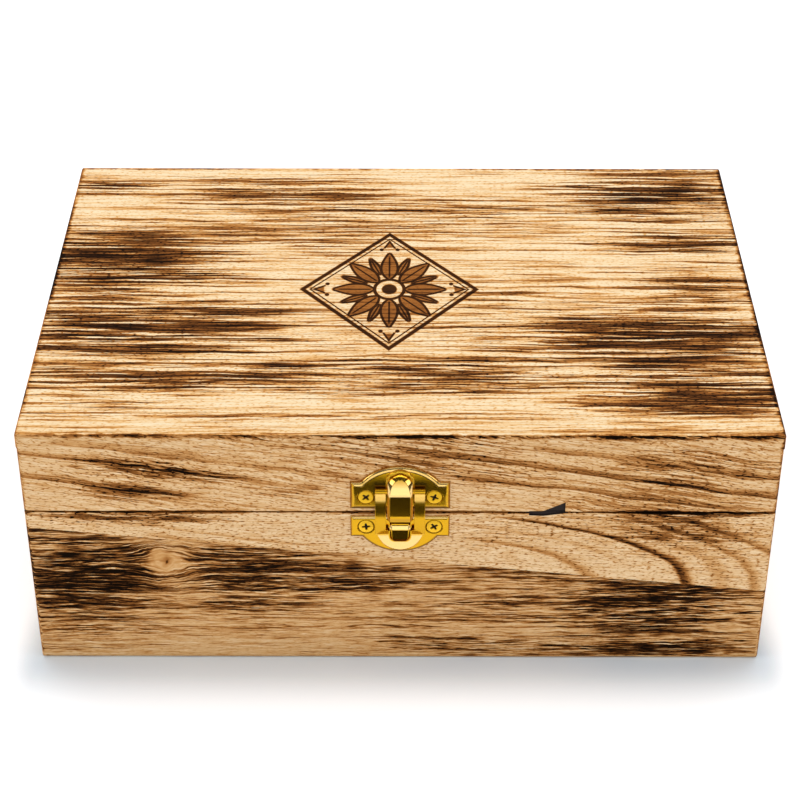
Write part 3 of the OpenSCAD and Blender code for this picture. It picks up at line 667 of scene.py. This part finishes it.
gold = makeMetal("goldPlate", goldLook)
loopGold = makeMetal("goldLoop", {**goldLook, "roughness": 0.17})
archGold = makeMetal("goldArch", {**goldLook, "roughness": 0.2})
# painted light: a brighter, less metallic copy of the plate gold, so the brow looks lit
browLitGold = makeMetal("goldBrowLit", {**goldLook, "color": srgb(238, 186, 40), "metal": 0.8, "roughness": 0.24})
screwGold = makeMetal("goldScrew", {**goldLook, "color": srgb(255, 200, 28), "metal": 0.5, "roughness": 0.34,
                                    "coat": 0.0, "grime": srgb(20, 11, 2)})
bareLook = {"metal": 1.0, "peel": 0.02, "peelRate": 900, "coat": 0.0, "coatRoughness": 0.08}
brass = makeMetal("hingeBrass", {**bareLook, "color": srgb(205, 165, 90), "roughness": 0.3})
steel = makeMetal("pinSteel", {**bareLook, "color": srgb(170, 160, 140), "roughness": 0.35})
for node in ("latch_lid_plate", "latch_base_plate", "latch_loop", "latch_lid_screws", "latch_base_screws"):
    dress(node, gold)
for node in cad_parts:
    if "hinge" in node:
        dress(node, brass if "leaf" in node else steel)
print("metal dressed")


def gridFaces(rows, columns, start=0, flip=False):
    # quads between neighbouring points of a rows x columns grid
    index = np.arange(rows * columns).reshape(rows, columns) + start
    a, b, c, d = index[:-1, :-1], index[:-1, 1:], index[1:, 1:], index[1:, :-1]
    corners = (a, d, c, b) if flip else (a, b, c, d)
    return np.stack([corner.ravel() for corner in corners], axis=1)


def makePiece(name, points, faces, material, body, bevel, marks):
    # marks: values for the points, which the material reads
    mesh = bpy.data.meshes.new(name)
    mesh.from_pydata(points.reshape(-1, 3).tolist(), [], faces.tolist())
    for label, values in marks.items():
        attribute = mesh.attributes.new(label, "FLOAT", "POINT")
        attribute.data.foreach_set("value", values.ravel().astype(np.float32))
    shape = bmesh.new()
    shape.from_mesh(mesh)
    bmesh.ops.remove_doubles(shape, verts=shape.verts, dist=0.004 * mm)
    bmesh.ops.dissolve_degenerate(shape, dist=0.002 * mm, edges=shape.edges)
    bmesh.ops.recalc_face_normals(shape, faces=shape.faces)
    shape.to_mesh(mesh)
    shape.free()
    mesh.shade_smooth()
    mesh.set_sharp_from_angle(angle=math.radians(35))
    mesh.materials.append(material)
    piece = bpy.data.objects.new(name, mesh)
    bpy.context.scene.collection.objects.link(piece)
    if bevel:
        rounding = piece.modifiers.new("rounding", "BEVEL")
        rounding.width = bevel * mm
        rounding.segments = 2
        rounding.limit_method = "ANGLE"
        rounding.angle_limit = math.radians(55)
    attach(piece, body)
    return piece


def slab(top, bottom):
    # a closed body between two grids of the same size
    rows, columns = top.shape[:2]
    count = rows * columns
    index = np.arange(count).reshape(rows, columns)
    rim = np.concatenate([index[0, :], index[1:, -1], index[-1, -2::-1], index[-2:0:-1, 0]])
    after = np.roll(rim, -1)
    walls = np.stack([rim, after, after + count, rim + count], axis=1)
    faces = np.concatenate([gridFaces(rows, columns), gridFaces(rows, columns, count, True), walls])
    return np.concatenate([top.reshape(-1, 3), bottom.reshape(-1, 3)]), faces


def onFront(x, up, out):
    # latch places: x across, up above the seam, out of the wood, all in millimetres
    return np.stack([x, -halfDepth - out, boxSize["seam"] + up], axis=-1) * mm


def latchPlace(points):
    # back from points to x, up and out
    flat = points.reshape(-1, 3) / mm
    return flat[:, 0], flat[:, 2] - boxSize["seam"], -halfDepth - flat[:, 1]


def softMin(a, b, soft):
    return 0.5 * (a + b - np.sqrt((a - b) ** 2 + soft ** 2))


def softMax(a, b, soft):
    return 0.5 * (a + b + np.sqrt((a - b) ** 2 + soft ** 2))


def fadeIn(value, start, width):
    # 0 up to the start, then straight up to 1 over the width; a negative width fades out
    return np.clip((value - start) / width, 0, 1)


def arcHeight(radius, x):
    # how high a circle stands over its middle at x, 0 outside it
    return np.sqrt(np.maximum(radius ** 2 - x ** 2, 0))


def columnBody(xs, low, high, height, floorHeight, rows, toPlace=onFront):
    # for each x a column of points from low(x) to high(x), closer together towards both ends; the
    # height is a function of both
    t = 0.5 - 0.5 * np.cos(np.linspace(0, math.pi, rows))
    x = np.repeat(xs[None, :], rows, axis=0)
    y = low[None, :] + (high - low)[None, :] * t[:, None]
    return slab(toPlace(x, y, height(x, y)), toPlace(x, y, np.full_like(x, floorHeight)))


def combine(shapes):
    # one list of points and one of faces, whose numbers move on by the points before them
    points, faces, start = [], [], 0
    for p, f in shapes:
        p = p.reshape(-1, 3)
        points.append(p)
        faces.append(f + start)
        start += len(p)
    return np.concatenate(points), np.concatenate(faces)


# gap, ear and arch are distances from the seam; side is 1 above it and -1 below; screws are the
# places of the screws, sink is the radius of the dish round each, and seat its height; corner,
# join and rimSoft say how round the outline's corners, its inner corners and the rim's top are
plateLook = {"width": 33, "edge": 0.25, "sink": 2.85, "seat": 0.3, "corner": 0.1, "join": 0.15,
             "rimSoft": 0.08}
lidPlateLook = {**plateLook, "gap": 1.9, "ear": 13, "arch": 19.4, "radius": 16.6, "rise": 1.0, "bevel": 1.9,
                "round": 0.45, "bead": 1.0, "crown": 0.0088, "crownFrom": 6.5, "screws": (11.3, 6.9),
                "side": 1}
basePlateLook = {**plateLook, "gap": 1.3, "ear": 9.9, "arch": 16.3, "radius": 15.4, "rise": 0.8,
                 "bevel": 1.1, "round": 0.4, "bead": 0.9, "crown": 0.0, "crownFrom": 0.0,
                 "screws": (11.3, 5.5), "side": -1}
# where the lid's plate has painted shade behind the crossbar: heights above the seam, half the width
crossbarShade = {"foot": 9, "top": 14.2, "half": 9.4}


def plateInside(look, x, y):
    # distance from the plate's rim; the plate is a rectangle joined with a disc
    radius, middle = look["radius"], look["arch"] - look["radius"]
    foot, corner = y - look["gap"], look["corner"]
    block = softMin(softMin(look["width"] / 2 - np.abs(x), look["ear"] - y, corner), foot, corner)
    disc = softMin(radius - np.hypot(x, y - middle), foot, corner)
    return np.maximum(softMax(block, disc, look["join"]), 0)


def rimClimb(look, inside):
    # height of the rim's slope from 0 to 1: a straight bevel mixed with a quarter round
    climb = fadeIn(inside, 0, look["bevel"])
    straight = softMin(climb, np.ones_like(inside), look["rimSoft"])
    return np.clip((1 - look["round"]) * straight + look["round"] * np.sqrt(1 - (1 - climb) ** 2), 0, 1)


def plateShape(look):
    # The height grows with the distance from the rim up to the rise, and dips in a ring round
    # each screw.
    half, radius, middle = look["width"] / 2, look["radius"], look["arch"] - look["radius"]
    corner = math.sqrt(radius ** 2 - (look["ear"] - middle) ** 2)
    xs = np.concatenate([np.linspace(-half, -corner, 22), np.linspace(-corner, corner, 181)[1:-1],
                         np.linspace(corner, half, 22)])
    high = np.maximum(look["ear"], middle + arcHeight(radius, xs) * (np.abs(xs) <= corner + 1e-6))

    def height(x, y):
        z = look["edge"] + (look["rise"] - look["edge"]) * rimClimb(look, plateInside(look, x, y))
        away = np.hypot(np.abs(x) - look["screws"][0], y - look["screws"][1])
        return z - fadeIn(away, look["sink"], -0.25) * (look["rise"] - look["seat"])

    return columnBody(xs, np.full_like(xs, look["gap"]), high, height, 0.0, 110,
                      lambda x, y, z: onFront(x, look["side"] * y, z))


def plateMarks(look):
    # Painted shade, dark and rough, in the ring round each screw and on the rims that face down, and a
    # painted highlight on the rims that face up. The bead is what a quarter-round rim would add to the
    # height, less a crown: the field inside the rim leans back more and more towards the arch. The lid's
    # plate has painted shade behind the crossbar.
    def marks(x, up, out):
        away = up * look["side"]
        inside = plateInside(look, x, away)
        step = 0.02
        upward = plateInside(look, x, away - step) - plateInside(look, x, away + step)
        upward = upward / (2 * step) * look["side"]
        climb = fadeIn(inside, 0, look["bevel"])
        rim = fadeIn(climb, 1, -0.25)
        bead = look["bevel"] * np.sqrt(1 - (1 - climb) ** 2)
        bead = bead - (look["rise"] - look["edge"]) * rimClimb(look, inside)
        arch = look["arch"] - look["radius"] + arcHeight(look["radius"] - look["bevel"], x)
        fieldTop = np.maximum(look["ear"] - look["bevel"], arch)
        crown = look["crown"] * np.maximum(np.minimum(away, fieldTop) - look["crownFrom"], 0) ** 2
        screwAway = np.hypot(np.abs(x) - look["screws"][0], up - look["screws"][1] * look["side"])
        grime = np.maximum(fadeIn(screwAway, look["sink"], -0.15), rim * np.clip(-upward, 0, 1) * 0.4)
        behind = fadeIn(up, crossbarShade["top"], -1.8) * fadeIn(np.abs(x), crossbarShade["half"], -1.4)
        behind = behind * (up > crossbarShade["foot"])
        return {"grime": grime, "bead": bead * look["bead"] - crown, "shade": behind,
                "polish": rim * np.clip(upward, 0, 1) * 0.8}
    return marks


# profileUp and profileOut: heights above the seam and how far the face stands out there; floor is
# where the back lies, and least the smallest height of the face
hookLook = {"width": 8.4, "foot": -1.0, "crown": 17.1, "profileUp": (-1.0, 0.8, 1.5, 9.5, 10.3, 15.6, 17.1),
            "profileOut": (4.1, 4.7, 4.8, 4.8, 4.65, 2.7, 1.6), "bevel": 0.9, "floor": 0.3, "least": 0.35,
            "nailFoot": 9.6, "nailTop": 15.4, "nailCurve": 2.2, "bend": 0.25, "deepen": 0.9,
            "highlightFrom": 9.4, "shadeFrom": 12.6, "shadeOver": 3.2}
tongueLook = {"width": 6.9, "top": -2.8, "low": -10.9, "profileUp": (-10.9, -9.8, -9.3, -4.9, -3.6, -2.8),
              "profileOut": (3.0, 3.6, 3.75, 3.4, 2.75, 2.8), "bevel": 0.75, "floor": 0.3, "least": 0.35,
              "rimSoft": 0.08, "highlightBand": (-5.0, -3.4)}


def softProfile(look, up):
    # the polyline of the side profile, its corners rounded by averaging over a short stretch
    steps = np.linspace(-0.35, 0.35, 9)
    return np.mean([np.interp(up + step, look["profileUp"], look["profileOut"]) for step in steps], axis=0)


def hookShape(look):
    # A bar with a round upper end. The face follows the side profile. Its flat part narrows to
    # a nail-shaped arch near the top, and beside it the metal falls away, flat at first and then
    # at 45 degrees.
    r = look["width"] / 2
    middle = look["crown"] - r
    xs = r * np.sin(np.linspace(-math.pi / 2, math.pi / 2, 81))

    def height(x, y):
        climb = fadeIn(y, look["nailFoot"], look["nailTop"] - look["nailFoot"])
        flat = (r - look["bevel"]) * np.sqrt(np.maximum(1 - climb ** look["nailCurve"], 0))
        rim = arcHeight(r, np.maximum(y - middle, 0))
        beside = np.clip(np.abs(x) - flat, 0, None) / np.maximum(rim - flat, 0.05)
        drop = look["bevel"] * (beside + look["bend"] * beside ** 3) * (1 + look["deepen"] * climb ** 2)
        return np.maximum(softProfile(look, y) - drop, look["least"])

    high = middle + arcHeight(r, xs)
    return columnBody(xs, np.full_like(xs, look["foot"]), high, height, look["floor"], 120)


def hookMarks(x, up, out):
    # a painted highlight on the nail of the hook, and painted shade towards its root
    root = fadeIn(up, hookLook["shadeFrom"], hookLook["shadeOver"])
    return {"polish": fadeIn(up, hookLook["highlightFrom"], 0.5) * (1 - root), "shade": 0.5 * root}


def tongueShape(look):
    # as the hook, with the round end below
    r = look["width"] / 2
    middle = look["low"] + r
    xs = r * np.sin(np.linspace(-math.pi / 2, math.pi / 2, 61))

    def height(x, y):
        rim = np.maximum(r - np.hypot(x, np.minimum(y - middle, 0)), 0)
        face = softProfile(look, y)
        return np.maximum(softMin(face, face - look["bevel"] + rim, look["rimSoft"]), look["least"])

    low = middle - arcHeight(r, xs)
    return columnBody(xs, low, np.full_like(xs, look["top"]), height, look["floor"], 70)


def tongueMarks(x, up, out):
    # a painted highlight on its upper edge too
    low, high = tongueLook["highlightBand"]
    return {"polish": fadeIn(up, low, 0.3) * fadeIn(up, high, -0.3)}


browLook = {"centre": 13.55, "radius": 4.25, "width": 1.15, "rise": 1.0, "legs": 3.4, "floor": 0.6,
            "lift": 0.9}


def browShape(look):
    # half a ring round the hook's crown: a half-round profile carried along an arch with short legs
    turn = np.linspace(0, math.pi, 49)
    middle, radius = look["centre"], look["radius"]
    path = np.stack([radius * np.cos(turn), middle + radius * np.sin(turn)], axis=1)
    normal = np.stack([np.cos(turn), np.sin(turn)], axis=1)
    leg = [[0, look["legs"]]]
    path = np.concatenate([path[:1] - leg, path, path[-1:] - leg])
    normal = np.concatenate([normal[:1], normal, normal[-1:]])
    around = np.linspace(0, math.pi, 17)
    steps = np.arange(len(path))
    fade = np.clip(np.minimum(steps, steps[::-1]) / 3, 0.2, 1)
    side = np.cos(around)[None, :] * look["width"] / 2
    out = look["lift"] + np.sin(around)[None, :] ** 0.8 * (look["rise"] * fade)[:, None]
    spots = path[:, None, :] + normal[:, None, :] * side[:, :, None]
    x, up = spots[..., 0], spots[..., 1]
    return slab(onFront(x, up, out), onFront(x, up, np.full(out.shape, look["floor"])))


# tiltUp and tilt: heights above the seam and the strap's tilt there in degrees
loopLook = {"width": 16.5, "window": 9.3, "thick": 0.9, "axisUp": 10.3, "axisOut": 2.15, "roll": 0.98,
            "bar": 0.9, "foldUp": -7.6, "foldOut": 1.75, "tiltUp": (-7.6, -3, -1, 0.8, 3.5, 6.4, 8.6, 10.3),
            "tilt": (-11, -8, -4.5, 0, 4.5, 11, 20, 10), "lipTilt": 54, "lipLength": 5.6, "lipBar": 2.6,
            "lipCentre": 2.5, "neck": 3.8, "neckLength": 2.0, "lipCorner": 2.0, "shoulder": (5.6, 9.4),
            "squareWide": 0.14, "squareDeep": 0.28}


def strapMiddle(look, rows):
    # From the fold up to the crossbar: the strap's tilt is known at a few heights, and its
    # distance from the wood is the sum of the small steps that the tilt makes.
    up = np.linspace(look["foldUp"], look["axisUp"], rows)
    tilt = np.radians(np.interp(up, look["tiltUp"], look["tilt"]))
    out = look["foldOut"] - np.concatenate([[0], np.cumsum(np.tan((tilt[1:] + tilt[:-1]) / 2) * np.diff(up))])
    return out, up


def strapShape(look, side):
    # a rounded sheet section (a superellipse) carried along the strap's side profile
    out, up = strapMiddle(look, 101)
    slope = np.arctan2(-np.gradient(out), np.gradient(up))
    section = np.linspace(0, 2 * math.pi, 40, endpoint=False)
    wide = np.sign(np.cos(section)) * np.abs(np.cos(section)) ** look["squareWide"]
    deep = np.sign(np.sin(section)) * np.abs(np.sin(section)) ** look["squareDeep"]
    outer, inner = look["width"] / 2, look["window"] / 2
    innerEdge = np.where(up < look["foldUp"] + look["neckLength"], look["neck"], inner)
    middle, half = (outer + innerEdge) / 2, (outer - innerEdge) / 2
    push = deep[None, :] * look["thick"] / 2
    ring = onFront(side * (middle[:, None] + half[:, None] * wide[None, :]),
                   up[:, None] + push * np.sin(slope)[:, None], out[:, None] + push * np.cos(slope)[:, None])
    rows, columns = ring.shape[:2]
    closed = np.concatenate([ring, ring[:, :1]], axis=1)
    ends = [np.repeat(ring[row].mean(axis=0)[None, None, :], columns + 1, axis=1) for row in (0, rows - 1)]
    return np.concatenate([ends[0], closed, ends[1]]), gridFaces(rows + 2, columns + 1)


def rodShape(x0, x1, out, up, radius):
    # a rod along x with slightly rounded ends
    soft = 0.12
    turn = np.linspace(0, 2 * math.pi, 41)
    xs = np.array([x0, x0, x0 + soft, x1 - soft, x1, x1])
    rs = np.array([0, radius - soft, radius, radius, radius - soft, 0])
    x = np.repeat(xs[:, None], len(turn), axis=1)
    points = onFront(x, up + rs[:, None] * np.sin(turn)[None, :], out + rs[:, None] * np.cos(turn)[None, :])
    return points, gridFaces(len(xs), len(turn))


def lipReach(look):
    # half the width of the lip's arc where it meets the fold
    return math.sqrt((look["lipLength"] + look["lipCentre"]) ** 2 - look["lipCentre"] ** 2)


def lipShape(look):
    # The lip lies in a tilted plane. Its outer rim is an arc, its window a U with round corners.
    outer = look["lipLength"] + look["lipCentre"]
    neck, corner = look["neck"], look["lipCorner"]
    right = np.concatenate([np.linspace(0, neck, 30), np.linspace(neck, lipReach(look) - 0.02, 24)])
    bend = np.clip(right[:30] - (neck - corner), 0, corner)
    windowRim = look["lipBar"] - look["lipLength"] + corner - arcHeight(corner, bend)
    high = np.concatenate([windowRim, np.zeros(24)])
    xs = np.concatenate([-right[::-1], right[1:]])
    high = np.concatenate([high[::-1], high[1:]])
    low = look["lipCentre"] - arcHeight(outer, xs)
    tilt = math.radians(look["lipTilt"])

    def toLip(x, y, z):
        return onFront(x, look["foldUp"] + y * math.cos(tilt) + z * math.sin(tilt),
                       look["foldOut"] - y * math.sin(tilt) + z * math.cos(tilt))

    half = look["thick"] / 2
    return columnBody(xs, low, high, lambda x, y: np.full_like(x, half), -half, 12, toLip)


def loopShape(look):
    # lip, crossbar, and on each side a strap with its roll round the crossbar and its fold
    half, edge = look["width"] / 2, look["window"] / 2
    shapes = [lipShape(look), rodShape(-half + 0.3, half - 0.3, look["axisOut"], look["axisUp"], look["bar"])]
    for side in (-1, 1):
        shapes.append(strapShape(look, side))
        roll = sorted((side * edge, side * half))
        shapes.append(rodShape(*roll, look["axisOut"], look["axisUp"], look["roll"]))
        fold = sorted((side * look["neck"], side * (lipReach(look) - 0.15)))
        shapes.append(rodShape(*fold, look["foldOut"], look["foldUp"], look["thick"] / 2 + 0.05))
    return combine(shapes)


def loopMarks(x, up, out):
    # painted highlights on the lip and the shoulders of the straps
    fold, tilt = loopLook["foldUp"], math.radians(loopLook["lipTilt"])
    outer = (up - fold) * math.sin(tilt) + (out - loopLook["foldOut"]) * math.cos(tilt) > 0.1
    lip = fadeIn(up, fold + 0.1, -0.3) * outer
    low, high = loopLook["shoulder"]
    shoulder = fadeIn(up, low, 1.2) * fadeIn(up, high, -0.5)
    return {"polish": np.maximum(lip, shoulder * 0.5)}


# turns: how far each pair of cross slots is turned, in degrees
screwLook = {"radius": 2.55, "dome": 0.06, "rim": 0.93, "rimDrop": 0.18, "thick": 0.5, "slotWidth": 0.72,
             "slotLength": 1.45, "slotTaper": 0.6, "slotDepth": 0.55,
             "turns": {"lid": (42, 69), "base": (96, 123)}}


def crossSlot(look, x, y, degrees, side, start, end):
    # 1 in two arms at right angles that get narrower towards their ends, 0 outside; side, start
    # and end say how softly
    turned = math.radians(degrees)
    a, b = x * math.cos(turned) + y * math.sin(turned), y * math.cos(turned) - x * math.sin(turned)

    def arm(p, q):
        narrower = np.clip(1.25 - np.abs(p) / look["slotLength"] * look["slotTaper"], 0.2, 1.3)
        width = look["slotWidth"] / 2 * narrower
        return np.clip((width - np.abs(q)) / side + start, 0, 1) * fadeIn(np.abs(p), look["slotLength"], -end)

    return np.maximum(arm(a, b), arm(b, a))


def screwShape(look, x0, up, head, degrees):
    # a shallow dome over a disc with a softened rim, less the cross slot
    rim, drop = look["rim"], look["rimDrop"]
    r = np.concatenate([np.linspace(0, rim - 0.01, 30), np.linspace(rim, 1.0, 6)]) * look["radius"]
    angle = np.linspace(0, 2 * math.pi, 97)
    rr, aa = np.meshgrid(r, angle, indexing="ij")
    x, y = rr * np.cos(aa), rr * np.sin(aa)
    dome = look["dome"] * (1 - (rr / look["radius"]) ** 2)
    slot = crossSlot(look, x, y, degrees, 0.14, 0.5, 0.2) * look["slotDepth"]
    z = head + dome - fadeIn(rr, rim * look["radius"], drop) ** 2 * drop
    z = np.minimum(z, head + look["dome"] - slot)
    foot = onFront(x[[-1, 0]] + x0, y[[-1, 0]] + up, np.full_like(z[:2], head - look["thick"]))
    return np.concatenate([onFront(x + x0, y + up, z), foot]), gridFaces(len(r) + 2, len(angle))


def screwPair(look, plate, key):
    # the left and the right screw of a plate
    x, up = plate["screws"]
    up *= plate["side"]
    turns = zip((-1, 1), look["turns"][key])
    return combine([screwShape(look, side * x, up, plate["rise"], turn) for side, turn in turns])


def screwMarks(look, plate, key):
    # painted shade in the cross slot, dark and rough
    def marks(x, up, out):
        grime = np.zeros(len(x))
        for side, degrees in zip((-1, 1), look["turns"][key]):
            px, py = x - side * plate["screws"][0], up - plate["side"] * plate["screws"][1]
            near = np.hypot(px, py) < look["radius"] * 0.9
            grime = np.maximum(grime, crossSlot(look, px, py, degrees, 0.12, 0.6, 0.15) * near)
        return {"grime": grime}
    return marks


# name, body, the CAD node that the piece replaces, material, bevel, shape, marks
latchPieces = [
    ("lidPlate", "lid", "latch_lid_plate", archGold, 0.0,
     plateShape(lidPlateLook), plateMarks(lidPlateLook)),
    ("hook", "lid", None, gold, 0.12, hookShape(hookLook), hookMarks),
    ("brow", "lid", None, browLitGold, 0.0, browShape(browLook), None),
    ("basePlate", "base", "latch_base_plate", gold, 0.0,
     plateShape(basePlateLook), plateMarks(basePlateLook)),
    ("tongue", "base", None, gold, 0.12, tongueShape(tongueLook), tongueMarks),
    ("loop", "latch_loop", "latch_loop", loopGold, 0.0, loopShape(loopLook), loopMarks),
    ("lidPlateScrews", "lid", "latch_lid_screws", screwGold, 0.0,
     screwPair(screwLook, lidPlateLook, "lid"), screwMarks(screwLook, lidPlateLook, "lid")),
    ("basePlateScrews", "base", "latch_base_screws", screwGold, 0.0,
     screwPair(screwLook, basePlateLook, "base"), screwMarks(screwLook, basePlateLook, "base")),
]
for name, body, node, material, bevel, (points, faces), marks in latchPieces:
    values = marks(*latchPlace(points)) if marks else {}
    piece = makePiece(name, points, faces, material, body, bevel, values)
    if node:
        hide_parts(node)
print("latch made")

# metres; each light: place, aim, width, height, power
# the floor's own colour, the colour of its painted shadow near the box, the strength of its painted glow, and
# how far the painted shadow reaches in front, to the sides and behind
studio = {"floorSize": 8.0, "floorColor": srgb(245, 247, 250), "shade": srgb(230, 240, 248), "paintedGlow": 0.34,
          "paintedShadowReach": 0.028, "paintedShadowSide": 2.0, "paintedShadowBack": 0.25, "world": 0.44, "worldInMetal": 0.12,
          "lights": [("overhead", (0.0, 0.6, 1.6), (0.0, 0.6, 0.0), 1.8, 1.1, 16),
                     ("topFront", (0.0, -0.675, 1.5), (0.0, -0.675, 0.0), 1.2, 0.45, 2.1),
                     ("leftSoftbox", (-1.15, -0.45, 0.75), (0.0, -0.1, 0.07), 0.4, 0.6, 2.8),
                     ("rightSoftbox", (1.15, -0.45, 0.75), (0.0, -0.1, 0.07), 0.4, 0.6, 2.8),
                     ("lowFront", (0.0, -2.2, 0.46), (0.0, 0.0, 0.1), 2.6, 0.9, 9.6)]}


def makePaper(look):
    # the paper has a painted glow, which stops under the box and close to its front, where a darker colour is
    # a painted shadow
    material, shader, where = newMaterial("floorPaper")
    x, y = split(where)[:2]
    sideways = highest(abs(x) - halfWidth * mm, 0.0) * look["paintedShadowSide"]
    forward = highest(-halfDepth * mm - y, 0.0)
    backward = highest(y + halfDepth * mm, 0.0)
    away = hypotenuse(sideways, forward) + backward * look["paintedShadowBack"]
    paintedGlow = remap(away, 0.0, look["paintedShadowReach"])
    feed(shader, {"Base Color": blendColor(paintedGlow, look["shade"], look["floorColor"]), "Roughness": 0.9,
                  "Specular IOR Level": 0.1, "Emission Color": blendColor(paintedGlow, (0, 0, 0, 1), (1, 1, 1, 1)),
                  "Emission Strength": look["paintedGlow"]})
    return material


bpy.ops.mesh.primitive_plane_add(size=studio["floorSize"])
floor = bpy.context.object
floor.name = "studioFloor"
floor.data.materials.append(makePaper(studio))

# a dark board lies in front of the box and shows only as a reflection in the bright metal
reflectorLook = {"near": -0.173, "far": -0.34, "half": 0.6, "height": 0.0008, "color": srgb(45, 43, 40)}
bpy.ops.mesh.primitive_plane_add(size=1.0)
board = bpy.context.object
board.name = "reflectionBoard"
ends = (-reflectorLook["half"], reflectorLook["half"])
corners = [(x, reflectorLook[side], reflectorLook["height"]) for side in ("near", "far") for x in ends]
for vertex, corner in zip(board.data.vertices, corners):
    vertex.co = corner
boardMaterial, boardShader = newMaterial("boardCloth")[:2]
feed(boardShader, {"Base Color": reflectorLook["color"], "Roughness": 1.0})
board.data.materials.append(boardMaterial)
board.visible_camera = False
board.visible_diffuse = False
board.visible_shadow = False
board.visible_transmission = False

for name, spot, aim, sizeX, sizeY, power in studio["lights"]:
    data = bpy.data.lights.new(name, "AREA")
    data.shape = "RECTANGLE"
    data.size = sizeX
    data.size_y = sizeY
    data.energy = power
    lamp = bpy.data.objects.new(name, data)
    bpy.context.scene.collection.objects.link(lamp)
    lamp.location = spot
    lamp.rotation_euler = (Vector(aim) - Vector(spot)).to_track_quat("-Z", "Y").to_euler()

# the backdrop itself shows white, and the metal sees it dark
world = bpy.data.worlds.new("studioWorld")
bpy.context.scene.world = world
world.use_nodes = True
paths = put(world.node_tree, "ShaderNodeLightPath").outputs
glossy, seen = (Field(world.node_tree, paths[ray]) for ray in ("Is Glossy Ray", "Is Camera Ray"))
strength = blendValue(seen, blendValue(glossy, studio["world"], studio["worldInMetal"]), 1.0)
feed(world.node_tree.nodes["Background"], {"Color": (1, 1, 1, 1), "Strength": strength})
bpy.context.scene.view_settings.view_transform = "Standard"

# place in metres, turns in degrees, lens in millimetres
cameraLook = {"place": (0.0, -0.6424, 0.4975), "down": 35.0156, "turn": -0.0095, "roll": 0.0995,
              "lens": 95.06, "sensor": 36.0}
data = bpy.data.cameras.new("frontCamera")
data.lens = cameraLook["lens"]
data.sensor_width = cameraLook["sensor"]
data.clip_start = 0.01
camera = bpy.data.objects.new("frontCamera", data)
bpy.context.scene.collection.objects.link(camera)
down, turn, roll = (math.radians(cameraLook[key]) for key in ("down", "turn", "roll"))
ahead = Vector((math.sin(turn) * math.cos(down), math.cos(turn) * math.cos(down), -math.sin(down)))
level = ahead.cross(Vector((0, 0, 1))).normalized()
upright = level.cross(ahead)
right = level * math.cos(roll) + upright * math.sin(roll)
upward = upright * math.cos(roll) - level * math.sin(roll)
turned = Matrix((right, upward, -ahead)).transposed()
camera.matrix_world = Matrix.Translation(cameraLook["place"]) @ turned.to_4x4()
bpy.context.scene.camera = camera
print("studio ready")
